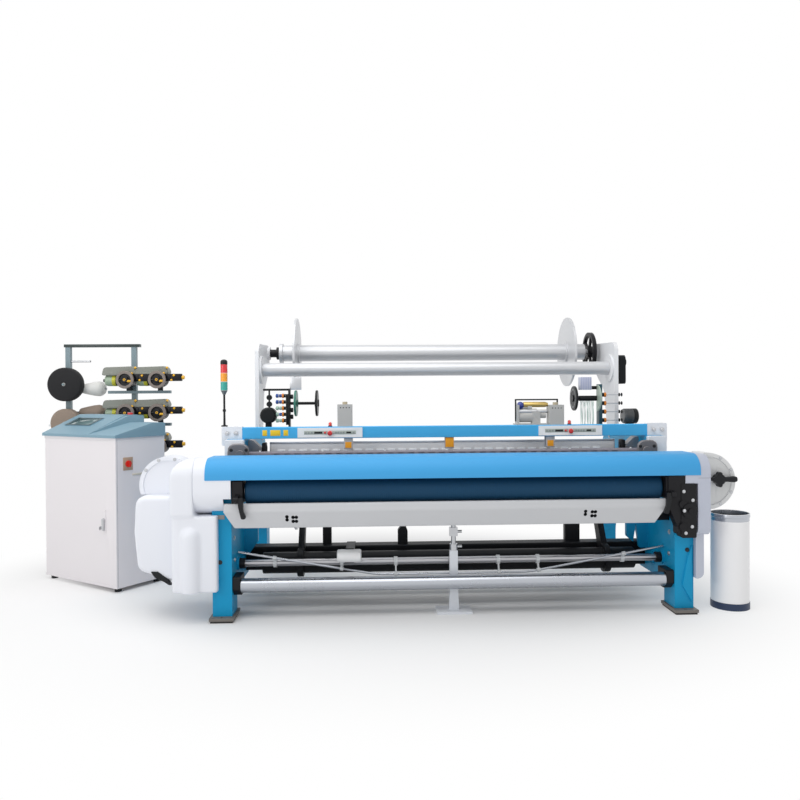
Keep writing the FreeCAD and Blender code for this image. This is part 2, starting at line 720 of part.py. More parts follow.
arm_x = filter_x - filter_arm_width / 2
arm = block(arm_x, arm_x + filter_arm_width, filter_y + filter_radius - 4, girder_front_y + 60,
            girder_top_z - 1, girder_top_z - 1 + filter_arm_height)
band = rod(arm_x, filter_y, filter_z, filter_radius + filter_band, filter_arm_width, "x")
band = band.cut(block(arm_x, arm_x + filter_arm_width, filter_y - 2 * filter_radius, filter_y + 4,
                      filter_z - 2 * filter_radius, filter_z + 2 * filter_radius))
girder = girder.fuse(arm).fuse(band)
girder = girder.cut(rod(filter_x0, filter_y, filter_z, filter_radius + side_gap,
                        filter_length, "x"))

save("oil_filter", turned([
    (0, 0), (0, filter_radius - filter_edge), (filter_edge, filter_radius),
    (filter_length - filter_edge, filter_radius), (filter_length, filter_radius - filter_edge),
    (filter_length, 0)], (filter_x0, filter_y, filter_z), "x"))

unit_x = -310.0
unit_body = prism([(unit_x - 34, girder_top_z - 1), (unit_x - 34, girder_top_z + 96, 12),
                   (unit_x - 14, girder_top_z + 122, 10), (unit_x + 22, girder_top_z + 122, 16),
                   (unit_x + 34, girder_top_z + 92, 12), (unit_x + 34, girder_top_z - 1)],
                  "y", girder_front_y + 22, 56)
unit_dial = rod(unit_x, girder_front_y + 16, girder_top_z + 60, 18, 10, "y")
save("rear_girder", join([girder, unit_body, unit_dial]))

rail_half = inner_x
rail = block(-rail_half, rail_half, rail_front_y, rail_front_y + rail_depth, rail_bottom_z,
             rail_bottom_z + rail_height)
rail = rail.makeFillet(12, [e for e in rail.Edges if e.Length > 2 * rail_half - 1
                            and e.BoundBox.ZMin > rail_bottom_z + 1])
slots = []
rail_slot_pitch = 2 * (rail_half - 180) / rail_slot_count
for i in range(rail_slot_count):
    x = -rail_half + 180 + (i + 0.5) * rail_slot_pitch
    slots.append(block(x - rail_slot_length / 2, x + rail_slot_length / 2, rail_front_y - 1,
                       rail_front_y + 9, rail_bottom_z + rail_height - 12 - rail_slot_depth,
                       rail_bottom_z + rail_height - 12))
save("temple_rail", rail.cut(Part.makeCompound(slots)))

# ---- Sley: rocker tube, swords, sley beam and reed ---------------------
sword_places = [-1000.0, 1060.0]
sword_thickness = 40.0
sword_width = 84.0
rocker_half = 1250.0
sley_beam_y = 640.0
sley_beam_z = 905.0
sley_beam_depth = 62.0
sley_beam_height = 60.0
sley_half = 1255.0
reed_depth = 8.0
reed_height = 96.0
reed_groove = 14.0
reed_baulk = 10.0
reed_gap_count = 100
reed_gap_width = 14.0
reed_mid_y = sley_beam_y + sley_beam_depth / 2
rocker_shaft = roller(rocker_half, rocker_radius, rocker_axis_y, rocker_axis_z,
                      shaft_radius, shaft_end_x)


def sword(x):
    """Sword clamped round the rocker tube, tapering to its seat under the sley beam."""
    x0 = x - sword_thickness / 2
    hub = rod(x0, rocker_axis_y, rocker_axis_z, rocker_radius + 24, sword_thickness, "x")
    half = sword_width / 2
    arm = prism([(rocker_axis_y - half, rocker_axis_z), (sley_beam_y - 4, sley_beam_z),
                 (sley_beam_y + sley_beam_depth + 4, sley_beam_z),
                 (rocker_axis_y + half + 36, rocker_axis_z)], "x", x0, sword_thickness)
    return join([hub, arm])


save("rocker_shaft", join([rocker_shaft] + [sword(x) for x in sword_places]))
sley_beam = block(-sley_half, sley_half, sley_beam_y, sley_beam_y + sley_beam_depth,
                  sley_beam_z, sley_beam_z + sley_beam_height)
reed_bottom_z = sley_beam_z + sley_beam_height - reed_groove
sley_beam = sley_beam.cut(block(-sley_half, sley_half, reed_mid_y - reed_depth / 2,
                                reed_mid_y + reed_depth / 2, reed_bottom_z,
                                reed_bottom_z + reed_groove))
save("sley_beam", sley_beam)
reed_top_z = reed_bottom_z + reed_groove + reed_height
reed = block(-sley_half, sley_half, reed_mid_y - reed_depth / 2, reed_mid_y + reed_depth / 2,
             reed_bottom_z, reed_top_z)
reed_pitch = (2 * sley_half - 40) / reed_gap_count
gaps = [block(x - reed_gap_width / 2, x + reed_gap_width / 2, reed_mid_y - reed_depth,
              reed_mid_y + reed_depth, reed_bottom_z + reed_groove + reed_baulk,
              reed_top_z - reed_baulk)
        for x in [-sley_half + 20 + (i + 0.5) * reed_pitch for i in range(reed_gap_count)]]
save("reed", reed.cut(Part.makeCompound(gaps)))

guide_reach = 96.0
guide_top_z = 1084.0


def rapier_guide():
    """Right rapier guide: cast housing on the frame's inner face with a slot for the tape."""
    x0 = inner_x - guide_reach
    body = prism([(inner_x, frame_saddle_z - 50), (inner_x, guide_top_z, 8),
                  (inner_x - 30, guide_top_z, 30), (x0, guide_top_z - 60, 30),
                  (x0, frame_saddle_z - 10, 12)], "y", girder_rear_y - 10, 84)
    slot = block(x0 - 1, inner_x - 30, girder_rear_y + 16, girder_rear_y + 50,
                 guide_top_z - 86, guide_top_z - 66)
    return body.cut(slot)


save("rapier_guides", Part.makeCompound([mirrored(rapier_guide()), rapier_guide()]))

# ---- Posts, guide roller, pile beam and its let-off --------------------
post_thickness = 30.0
post_reach_y = 1640.0
post_rib_width = 110.0
post_top_z = frame_top_z + post_height
guide_flange_radius = 108.0
guide_flange_length = 14.0
pile_boss_radius = 55.0
pile_boss_length = 20.0


def post():
    """Right post: bracket plate that leans back over the loom, foot flange, bearing bosses."""
    low_rear = post_front_y + post_foot_depth
    plate = prism([(post_front_y, frame_top_z), (post_front_y, post_top_z, 70),
                   (post_reach_y, post_top_z + 20, 60), (post_reach_y, post_top_z - 170, 50),
                   (low_rear + 70, post_top_z - 380, 60), (low_rear, frame_top_z + 40, 30),
                   (low_rear, frame_top_z)], "x", inner_x, post_thickness)
    foot = block(inner_x, inner_x + post_rib_width, post_front_y, low_rear, frame_top_z,
                 frame_top_z + 20)
    flange = rod(inner_x - guide_flange_length, guide_axis_y, guide_axis_z,
                 guide_flange_radius, guide_flange_length, "x")
    boss = rod(inner_x - pile_boss_length, pile_axis_y, pile_axis_z, pile_boss_radius,
               pile_boss_length, "x")
    body = join([plate, foot, flange, boss])
    reach = post_thickness + pile_boss_length + 2
    for y, z in ((guide_axis_y, guide_axis_z), (pile_axis_y, pile_axis_z)):
        body = body.cut(rod(inner_x - pile_boss_length - 1, y, z,
                            shaft_radius + running_gap, reach, "x"))
    return body


save("right_post", post())
save("left_post", mirrored(post()))
post_outer_x = inner_x + post_thickness
guide_half = inner_x - guide_flange_length - side_gap
save("guide_roller", roller(guide_half, guide_radius, guide_axis_y, guide_axis_z,
                            shaft_radius, post_outer_x - 2))

pile_flange_x = 1146.0
pile_flange_thickness = 18.0
pile_left_end = -1262.0
pile_right_end = 1288.0
clamp_hub_radius = pile_radius + 14
barrel = rod(pile_left_end, pile_axis_y, pile_axis_z, pile_radius,
             pile_right_end - pile_left_end, "x")
beam_parts = [barrel]
for side in (-1, 1):
    x0 = side * pile_flange_x - pile_flange_thickness / 2
    disc = rod(x0, pile_axis_y, pile_axis_z, pile_flange_radius, pile_flange_thickness, "x")
    beam_parts.append(disc)
    beam_parts.append(rod(x0 - 14, pile_axis_y, pile_axis_z, clamp_hub_radius,
                          pile_flange_thickness + 28, "x"))
beam_parts.append(rod(pile_left_end - 28, pile_axis_y, pile_axis_z, clamp_hub_radius, 28, "x"))
journal_end = post_outer_x - 2
beam_parts.append(rod(-(post_outer_x - 2), pile_axis_y, pile_axis_z, shaft_radius,
                      post_outer_x - 2 + journal_end, "x"))
save("pile_beam", join(beam_parts))

hand_wheel_x = 1325.0
hand_wheel_radius = 165.0
hand_wheel_rim = 26.0
hand_wheel_width = 30.0
hand_wheel_spokes = 5
wheel_hub_radius = 48.0
wheel = ring(hand_wheel_x, pile_axis_y, pile_axis_z, hand_wheel_radius,
             hand_wheel_radius - hand_wheel_rim, hand_wheel_width, "x")
wheel_parts = [wheel, rod(hand_wheel_x - 8, pile_axis_y, pile_axis_z, wheel_hub_radius,
                          hand_wheel_width + 16, "x")]
for i in range(hand_wheel_spokes):
    angle = 2 * math.pi * (i + 0.25) / hand_wheel_spokes
    spoke = block(hand_wheel_x + 5, hand_wheel_x + hand_wheel_width - 5, pile_axis_y - 11,
                  pile_axis_y + 11, pile_axis_z, pile_axis_z + hand_wheel_radius - 12)
    spoke.rotate(V(hand_wheel_x, pile_axis_y, pile_axis_z), V(1, 0, 0), math.degrees(angle))
    wheel_parts.append(spoke)
wheel = join(wheel_parts)
wheel = wheel.cut(rod(hand_wheel_x - 20, pile_axis_y, pile_axis_z, shaft_radius, 120, "x"))
save("beam_wheel", wheel)

drive_box_width = 66.0
drive_box_half = 100.0
drive_box_top_z = guide_axis_z + drive_box_half
drive_box_bottom_z = guide_axis_z - 128
case = prism([(guide_axis_y - drive_box_half, drive_box_bottom_z, 24),
              (guide_axis_y - drive_box_half, drive_box_top_z, 40),
              (guide_axis_y + drive_box_half, drive_box_top_z, 40),
              (guide_axis_y + drive_box_half, drive_box_bottom_z, 24)],
             "x", post_outer_x, drive_box_width)
case_knob = rod(post_outer_x + drive_box_width - 1, guide_axis_y, guide_axis_z, 34, 14, "x")
save("guide_roller_drive", join([case, case_knob]))

ground_flange_x = 1150.0
ground_half = 1240.0
ground_parts = [roller(ground_half, ground_radius, ground_axis_y, ground_axis_z, shaft_radius,
                       shaft_end_x)]
for side in (-1, 1):
    x0 = side * ground_flange_x - pile_flange_thickness / 2
    ground_parts.append(rod(x0, ground_axis_y, ground_axis_z, ground_flange_radius,
                            pile_flange_thickness, "x"))
save("ground_beam", join(ground_parts))

# ---- Left drive housing and wheel cover --------------------------------
housing_right_x = -1469.0
housing_mid_x = -1751.0
housing_left_x = -2012.0
housing_front_y = -118.0
housing_rear_y = 420.0
housing_bottom_z = 190.0
housing_panel_top_z = collar_bottom_z - 2
housing_shelf_z = breast_height - 240
dome_x = -1632.0
dome_radius = 66.0
dome_rise = 40.0
dome_top_z = breast_height - 410
wheel_cover_radius = 182.0
wheel_cover_z = breast_height - 182
wheel_cover_rim = 26.0
wheel_cover_step = 8.0
wheel_cover_depth = 160.0
wheel_cover_x = -1821.0
collar_rear_y = cover_rear_y - 40
outer_gap_x = outer_x + side_gap
front_box = prism([(housing_mid_x, housing_front_y, 40),
                   (housing_right_x, housing_front_y, 14),
                   (housing_right_x, leg_front_y - side_gap),
                   (-outer_gap_x, leg_front_y - side_gap), (-outer_gap_x, housing_rear_y - 120, 20),
                   (housing_mid_x, housing_rear_y - 120, 20)],
                  "z", housing_bottom_z, housing_panel_top_z - housing_bottom_z)
dome_y = housing_front_y + dome_radius - dome_rise
dome = rod(dome_x, dome_y, housing_bottom_z, dome_radius,
           dome_top_z - dome_radius - housing_bottom_z, "z")
dome_cap = Part.makeSphere(dome_radius, V(dome_x, dome_y, dome_top_z - dome_radius))
shoulder_x = collar_left_x - side_gap
shoulder = prism(end_profile(housing_panel_top_z - 1, 5, 0), "x", housing_mid_x,
                 shoulder_x - housing_mid_x)
shoulder = shoulder.common(prism([
    (housing_mid_x, housing_panel_top_z - 1), (housing_mid_x, breast_height, 118),
    (shoulder_x, breast_height), (shoulder_x, housing_panel_top_z - 1)], "y", -200, 400))
bulge = prism([(housing_mid_x + 90, housing_bottom_z), (housing_mid_x, housing_bottom_z + 35, 60),
               (housing_left_x + 22, housing_bottom_z + 115, 60),
               (housing_left_x, housing_shelf_z - 230, 240), (housing_left_x + 12, housing_shelf_z, 60),
               (housing_mid_x + 90, housing_shelf_z)], "y", 4, housing_rear_y - 4)
bulge_rims = [e for e in bulge.Edges if e.BoundBox.YLength < 1
              and e.BoundBox.XMax < housing_mid_x + 20]
bulge = bulge.makeFillet(26, bulge_rims)
save("left_drive_housing", join([front_box, dome, dome_cap, shoulder, bulge]))


def wheel_cover(x, floor_z, face_y):
    """Round cover of a tape wheel with a raised rim, cut flat at floor_z."""
    rim = ring(x, face_y, wheel_cover_z, wheel_cover_radius,
               wheel_cover_radius - wheel_cover_rim, wheel_cover_step + 1, "y")
    disc = rod(x, face_y + wheel_cover_step, wheel_cover_z, wheel_cover_radius,
               wheel_cover_depth - wheel_cover_step, "y")
    body = join([disc, rim])
    return body.cut(block(x - 400, x + 400, face_y - 1, face_y + wheel_cover_depth + 1,
                          floor_z - 600, floor_z))


save("left_wheel_cover", wheel_cover(wheel_cover_x, housing_shelf_z + side_gap,
                                     collar_rear_y + side_gap))

# ---- Right end cover, wheel cover and hand lever -----------------------
right_cover_x = 1590.0
right_cover_step_z = breast_height - 510
right_skirt_x = 1562.0
right_skirt_bottom_z = 225.0
right_wheel_x = 1622.0
right_face_y = -20.0
hand_lever_x = 1684.0
hand_lever_z = breast_height - 168
hand_lever_reach = 112.0
hand_lever_bore = 10.0
right_cover = prism(end_profile(right_cover_step_z, 60, 0), "x", outer_gap_x,
                    right_cover_x - outer_gap_x)
front_part = prism(end_profile(gearbox_top_z + side_gap, 8, 0), "x", inner_x + 41,
                   outer_gap_x - inner_x - 41)
front_part = front_part.common(block(inner_x, right_cover_x, cover_front_y,
                                     leg_front_y - side_gap, 0, breast_height))
skirt_top_z = right_cover_step_z + 70
skirt = prism([(outer_gap_x, skirt_top_z), (right_skirt_x, skirt_top_z),
               (right_skirt_x, right_skirt_bottom_z, 40), (outer_gap_x, right_skirt_bottom_z, 5)],
              "y", cover_front_y + 40, 150)
save("right_cover", join([right_cover, front_part, skirt]))

right_wheel = wheel_cover(right_wheel_x, -1000, right_face_y)
right_wheel = right_wheel.cut(block(0, right_cover_x + side_gap, right_face_y - 1, 400, 0, 1100))
right_wheel = right_wheel.cut(rod(hand_lever_x, right_face_y - 1, hand_lever_z,
                                  hand_lever_bore + running_gap, 60, "y"))
save("right_wheel_cover", right_wheel)

hub_radius = 34.0
hub_length = 46.0
lobe_radius = 14.0
lobe_count = 4
hub_rear_y = right_face_y - side_gap
lever_parts = [rod(hand_lever_x, hub_rear_y - hub_length, hand_lever_z, hub_radius,
                   hub_length, "y"),
               rod(hand_lever_x, hub_rear_y - 1, hand_lever_z, hand_lever_bore, 50, "y")]
for i in range(lobe_count):
    angle = 2 * math.pi * i / lobe_count
    lever_parts.append(rod(hand_lever_x + hub_radius * math.cos(angle), hub_rear_y - hub_length,
                           hand_lever_z + hub_radius * math.sin(angle), lobe_radius,
                           hub_length - 10, "y"))
grip = turned([(10, 0), (10, 20), (40, 15), (hand_lever_reach - 14, 20),
               (hand_lever_reach, 16), (hand_lever_reach, 0)],
              (hand_lever_x, hub_rear_y - hub_length / 2 - 4, hand_lever_z), "x")
save("hand_lever", join(lever_parts + [grip]))

# ---- On the top beam: signal tower, supply boxes, tension unit ---------
tower_x = -1536.0
tower_y = 470.0
tower_pole_radius = 7.0
tower_lamp_radius = 24.0
tower_lamp_z = 1432.0
tower_lamp_height = 60.0
tower_base_z = beam_top_z + bracket_rise
tower = turned([(0, 0), (0, 22), (10, 22), (14, tower_pole_radius),
                (tower_lamp_z - tower_base_z - 30, tower_pole_radius),
                (tower_lamp_z - tower_base_z, tower_lamp_radius)]
               + [(tower_lamp_z - tower_base_z + tower_lamp_height * 3 + 22, tower_lamp_radius),
                  (tower_lamp_z - tower_base_z + tower_lamp_height * 3 + 34, 8),
                  (tower_lamp_z - tower_base_z + tower_lamp_height * 3 + 34, 0)],
               (tower_x, tower_y, tower_base_z), "z")
save("signal_tower", tower)

supply_depth = 92.0
supply_boxes = [(-757.0, -655.0, 1330.0), (720.0, 824.0, 1316.0)]    # left, right and top
gland_radius = 17.0
gland_height = 18.0
units = []
for x0, x1, top in supply_boxes:
    front = beam_front_y + 4
    box = block(x0, x1, front, front + supply_depth, beam_top_z, top)
    box = box.makeFillet(4, [e for e in box.Edges if e.BoundBox.ZLength > supply_depth])
    gland = rod((x0 + x1) / 2, front + supply_depth / 2, top - 1, gland_radius,
                gland_height + 1, "z")
    units.append(join([box, gland]))
tension_x = 484.0             # left end of the yarn tension unit
tension_length = 230.0
tension_depth = 104.0
tension_plate = 8.0
tension_motor_radius = 36.0
tension_motor_length = 96.0
tension_arm_rise = 112.0
plate_z = beam_top_z + tension_plate
unit_front = beam_front_y + 8
plate = block(tension_x, tension_x + tension_length, unit_front, unit_front + tension_depth,
              beam_top_z, plate_z)
mid_y = unit_front + tension_depth / 2
end_x = tension_x + 28                     # inner face of the unit's end plate
motor_end_x = end_x + tension_motor_length
frame_end = block(end_x - 16, end_x, mid_y - 40, mid_y + 40, plate_z - 1,
                  plate_z + tension_arm_rise + 20)
motor_body = rod(end_x - 1, mid_y, plate_z + tension_motor_radius + 8, tension_motor_radius,
                 tension_motor_length, "x")
motor_gear = block(motor_end_x - 2, motor_end_x + 54, mid_y - 32, mid_y + 32, plate_z - 1,
                   plate_z + 84)
reel = rod(motor_end_x + 53, mid_y, plate_z + 58, 21, 44, "x")
tension_arm = rod(end_x - 1, mid_y, plate_z + tension_arm_rise, 9, 76, "x")
tension_knob = rod(end_x + 64, mid_y, plate_z + tension_arm_rise, 19, 30, "x")
units.append(join([plate, frame_end, motor_body, motor_gear, reel, tension_arm, tension_knob]))
save("beam_top_units", Part.makeCompound(units))

# ---- Selvedge units on shelves that stand on the side frames -----------
unit_y = 870.0
shelf_thickness = 12.0
shelf_half = 35.0
shelf_frame_x = 1470.0                # end of both shelves over the frames
shelf_top_z = frame_top_z + shelf_thickness
disc_shaft_radius = 11.0
spool_rod_radius = 5.0
spool_radius = 17.0
spool_length = 26.0
bobbin_radius = 14.0
left_plate_x = -1140.0
left_plate_thickness = 12.0
left_shelf_end_x = -1040.0
left_top_z = 1446.0
left_disc_z = 1335.0
left_disc_end_x = -914.0
left_disc_radius = 97.0
leno_disc_thickness = 16.0
disc_hub_radius = 26.0
disc_hub_step = 8.0
inner_disc_x = -1094.0
winder_x = -1290.0
winder_z = 1247.0
winder_radius = 60.0


def shelf(x0, x1):
    """Shelf plate from the top of a frame towards the middle of the loom."""
    return block(x0, x1, unit_y - shelf_half, unit_y + shelf_half, frame_top_z, shelf_top_z)


plate_end = left_plate_x + left_plate_thickness
wall_depth = 50.0                     # strip on the plate that holds the spool rods
wall_low_z = 1175.0
wall_high_z = 1405.0
top_arm_x = winder_x - 41
finger_end_x = plate_end + 85         # thread finger over the cloth's edge
finger_top_z = 1531.0
winder_post = 12.0
bobbin_heights = [1380.0, 1330.0]     # bobbins on the winder's post
eyelet_heights = [1385.0, 1285.0, 1235.0]
left_spool_count = 5
left_spool_top_z = 1392.0
left_spool_pitch = 46.0
left_rod_length = 96.0
spool_y = unit_y - 20
parts = [shelf(-shelf_frame_x, left_shelf_end_x),
         block(left_plate_x, plate_end, unit_y - shelf_half, unit_y + shelf_half, frame_top_z,
               left_top_z),
         block(left_plate_x - 19, left_plate_x + 1, unit_y - wall_depth / 2,
               unit_y + wall_depth / 2, wall_low_z, wall_high_z),
         block(top_arm_x, plate_end, unit_y - 8, unit_y + 8, left_top_z - 16, left_top_z),
         rod(winder_x, unit_y - 50, winder_z, winder_radius, 100, "y"),
         block(winder_x - 22, winder_x + 22, unit_y - 20, unit_y + 20, frame_top_z, winder_z),
         block(winder_x, winder_x + winder_post, unit_y - winder_post / 2,
               unit_y + winder_post / 2, winder_z, left_top_z - 8),
         block(plate_end - 1, finger_end_x, unit_y - 20, unit_y - 12, left_top_z - 10,
               finger_top_z),
         rod(left_plate_x - 16, unit_y, left_disc_z, disc_shaft_radius * 2, 20, "x")]
for z in bobbin_heights:
    parts.append(rod(winder_x + winder_post / 2, unit_y - bobbin_radius, z, 20,
                     2 * bobbin_radius, "y"))
for z in eyelet_heights:
    parts.append(rod(plate_end - 1, unit_y, z, spool_radius, 22, "x"))
rod_x = left_plate_x - left_rod_length
for i in range(left_spool_count):
    z = left_spool_top_z - i * left_spool_pitch
    parts.append(rod(rod_x, spool_y, z, spool_rod_radius, left_rod_length + 1, "x"))
    parts.append(rod(rod_x + 50, spool_y, z, spool_radius, spool_length, "x"))
    parts.append(rod(rod_x + 6, spool_y, z, bobbin_radius, spool_length, "x"))
left_unit = join(parts)
left_unit = left_unit.cut(rod(left_plate_x - 20, unit_y, left_disc_z,
                              disc_shaft_radius + running_gap, 40, "x"))
save("left_selvedge_unit", left_unit)


def leno_disc(x, z, radius):
    """Thin disc with a hub on both faces."""
    rear = leno_disc_thickness
    return turned([(-disc_hub_step, 0), (-disc_hub_step, disc_hub_radius), (0, disc_hub_radius),
                   (0, radius), (rear, radius), (rear, disc_hub_radius),
                   (rear + disc_hub_step, disc_hub_radius), (rear + disc_hub_step, 0)],
                  (x, unit_y, z), "x")


leno_shaft = rod(left_plate_x - 15, unit_y, left_disc_z, disc_shaft_radius,
                 left_disc_end_x - left_plate_x + 15, "x")
save("left_selvedge_disc", join([
    leno_shaft, leno_disc(inner_disc_x, left_disc_z, left_disc_radius),
    leno_disc(left_disc_end_x - leno_disc_thickness - disc_hub_step, left_disc_z,
              left_disc_radius)]))

right_plate_x = 1194.0
right_plate_thickness = 25.0
right_shelf_end_x = 1005.0
right_top_z = 1463.0
right_disc_x = 1005.0
right_disc_z = 1357.0
right_disc_radius = 93.0
half_disc_radius = 100.0
twine_drum_radius = 20.0
drum_x = right_disc_x + leno_disc_thickness + disc_hub_step + 20
twine_count = 7
twine_radius = 2.0
twine_pitch = 15.0
end_motor_radius = 57.0
end_motor_z = 1220.0
end_motor_x = 1383.0
end_motor_length = 110.0
end_motor_foot = 52.0
head_box_x = 1053.0                   # sensor box over the drum
head_box_width = 87.0
head_box_low_z = 1421.0
head_box_height = 96.0
right_spool_count = 4
right_spool_top_z = 1383.0
right_spool_pitch = 64.0
right_rod_length = 159.0
half_disc = rod(right_plate_x - 10, unit_y, right_disc_z, half_disc_radius, 11, "x")
half_disc = half_disc.cut(block(right_plate_x - 12, right_plate_x + 2, unit_y,
                                unit_y + half_disc_radius + 1, right_disc_z - half_disc_radius,
                                right_disc_z + half_disc_radius))
parts = [shelf(right_shelf_end_x, shelf_frame_x),
         block(right_plate_x, right_plate_x + right_plate_thickness, unit_y - shelf_half,
               unit_y + shelf_half, frame_top_z, right_top_z),
         half_disc, rod(drum_x, unit_y, right_disc_z, twine_drum_radius,
                         right_plate_x - drum_x + 1, "x"),
         block(head_box_x, head_box_x + head_box_width, unit_y - 30, unit_y + 30,
               head_box_low_z, head_box_low_z + head_box_height),
         block(head_box_x + head_box_width / 2, right_plate_x + 1, unit_y - 10, unit_y + 10,
               head_box_low_z + 3, head_box_low_z + 29),
         rod(end_motor_x, unit_y, end_motor_z, end_motor_radius, end_motor_length, "x"),
         block(end_motor_x + 27, end_motor_x + 27 + end_motor_foot, unit_y - 24, unit_y + 24,
               frame_top_z, end_motor_z)]
for i in range(twine_count):
    parts.append(rod(drum_x + 14 + i * twine_pitch, unit_y, shelf_top_z - 1, twine_radius,
                     right_disc_z - twine_drum_radius + 8 - shelf_top_z, "z"))
plate_end = right_plate_x + right_plate_thickness
rod_end = plate_end + right_rod_length
for i in range(right_spool_count):
    z = right_spool_top_z - i * right_spool_pitch
    parts.append(rod(plate_end - 1, spool_y, z, spool_rod_radius, right_rod_length + 1, "x"))
    parts.append(rod(plate_end + 12, spool_y, z, spool_radius, spool_length, "x"))
    parts.append(rod(rod_end - spool_length - 3, spool_y, z, bobbin_radius, spool_length, "x"))
right_unit = join(parts)
right_shaft_end = drum_x + 80
right_unit = right_unit.cut(rod(drum_x - 1, unit_y, right_disc_z,
                                disc_shaft_radius + running_gap, 82, "x"))
save("right_selvedge_unit", right_unit)
right_shaft = rod(right_disc_x, unit_y, right_disc_z, disc_shaft_radius,
                  right_shaft_end - right_disc_x, "x")
save("right_selvedge_disc", join([right_shaft, leno_disc(right_disc_x, right_disc_z,
                                                         right_disc_radius)]))

# ---- Control cabinet: sheet body, door, console ------------------------
cabinet_corner = V(-2333, 620, 0)     # its nearest corner on the floor
cabinet_turn = -34.0
cabinet_width = 850.0
cabinet_depth = 430.0
cabinet_top_z = 1100.0
cabinet_foot_height = 30.0
cabinet_foot_radius = 24.0
cabinet_wall = 12.0
door_thickness = 23.7
door_room = door_thickness + side_gap
door_lip = 20.0                       # lips of the body over and under the door
corner_post = 36.0
hinge_pin_radius = 5.0
hinge_pin_length = 25.0
handle_x = -127.0
handle_z = 505.0
handle_bore = 8.0
plate_rise = 6.0
switch_y = 102.0
switch_z = 912.0
switch_bore = 8.0
switch_plate = 4.0


def at_cabinet(shape):
    """Turn a shape from the cabinet's own axes to its place on the floor."""
    placed = shape.copy()
    placed.rotate(V(0, 0, 0), V(0, 0, 1), cabinet_turn)
    placed.translate(cabinet_corner)
    return placed


pin_x = -cabinet_width + door_thickness / 2
pin_y = door_thickness / 2
door_low_z = cabinet_foot_height + door_lip
door_high_z = cabinet_top_z - door_lip
cabinet = block(-cabinet_width, 0, 0, cabinet_depth, cabinet_foot_height, cabinet_top_z)
cabinet = cabinet.cut(block(-cabinet_width + cabinet_wall, -cabinet_wall, door_room,
                            cabinet_depth - cabinet_wall, cabinet_foot_height + cabinet_wall,
                            cabinet_top_z - cabinet_wall))
cabinet = cabinet.cut(block(-cabinet_width - 1, -corner_post, -1, door_room, door_low_z,
                            door_high_z))
parts = [cabinet]
back_wall_y = cabinet_depth - cabinet_wall
parts.append(block(-cabinet_width + 90, -90, back_wall_y - 26, back_wall_y - 20, 120, 1000))
for x in (-cabinet_width + 130, -130):
    for z in (170, 950):
        parts.append(rod(x, back_wall_y - 22, z, 9, 24, "y"))
for x in (-cabinet_width + 45, -45):
    for y in (45, cabinet_depth - 45):
        parts.append(rod(x, y, 0, cabinet_foot_radius, cabinet_foot_height + 2, "z"))
parts.append(block(-1, switch_plate, switch_y - 40, switch_y + 40, switch_z - 46, switch_z + 46))
parts.append(rod(pin_x, pin_y, door_low_z - 2, hinge_pin_radius, hinge_pin_length + 2, "z"))
parts.append(rod(pin_x, pin_y, door_high_z - hinge_pin_length, hinge_pin_radius,
                 hinge_pin_length + 2, "z"))
cabinet = join(parts)
cabinet = cabinet.cut(rod(-cabinet_wall - 1, switch_y, switch_z, switch_bore + running_gap,
                          30, "x"))
save("cabinet_body", at_cabinet(cabinet))

door = block(pin_x, -corner_post - side_gap, 0, door_thickness, door_low_z + side_gap,
             door_high_z - side_gap)
door_height = door_high_z - door_low_z - 2 * side_gap
door_edge = rod(pin_x, pin_y, door_low_z + side_gap, door_thickness / 2, door_height, "z")
door_plate = block(handle_x - 16, handle_x + 16, -plate_rise, 1, handle_z - 83, handle_z + 77)
door = join([door, door_edge, door_plate])
door = door.cut(rod(pin_x, pin_y, door_low_z, hinge_pin_radius + running_gap,
                    hinge_pin_length + 1, "z"))
door = door.cut(rod(pin_x, pin_y, door_high_z - hinge_pin_length - 1,
                    hinge_pin_radius + running_gap, hinge_pin_length + 1, "z"))
door = door.cut(rod(handle_x, -plate_rise - 1, handle_z, handle_bore + running_gap,
                    door_thickness + plate_rise + 2, "y"))
save("cabinet_door", at_cabinet(door))

grip_depth = 14.0
handle_face = -plate_rise - side_gap
handle = rod(handle_x, handle_face - 1, handle_z, handle_bore,
             door_thickness + plate_rise + 9, "y")
handle_grip = prism([(handle_x - 12, handle_z + 18, 10), (handle_x + 12, handle_z + 18, 10),
                     (handle_x + 9, handle_z - 70, 8), (handle_x - 9, handle_z - 70, 8)],
                    "y", handle_face - grip_depth, grip_depth)
save("door_handle", at_cabinet(join([handle, handle_grip])))

switch_face = switch_plate + side_gap
switch = rod(-cabinet_wall - 4, switch_y, switch_z, switch_bore,
             cabinet_wall + switch_face + 8, "x")
switch_dial = rod(switch_face, switch_y, switch_z, 24, 8, "x")
switch_bar = block(switch_face + 6, switch_face + 22, switch_y - 7, switch_y + 7,
                   switch_z - 22, switch_z + 22)
save("main_switch", at_cabinet(join([switch, switch_dial, switch_bar])))

console_overhang = 12.0
console_low_z = cabinet_top_z + 98
console_high_z = cabinet_top_z + 155
console_step_x = -300.0
console_lip = 20.0


def console_body(top, x0, x1):
    """Sloping part of the console from the front lip up to a level rear."""
    return prism([(-console_overhang, cabinet_top_z),
                  (-console_overhang, cabinet_top_z + console_lip, 6),
                  (cabinet_depth * 0.72, top, 60), (cabinet_depth, top, 14),
                  (cabinet_depth, cabinet_top_z)], "x", x0, x1 - x0)


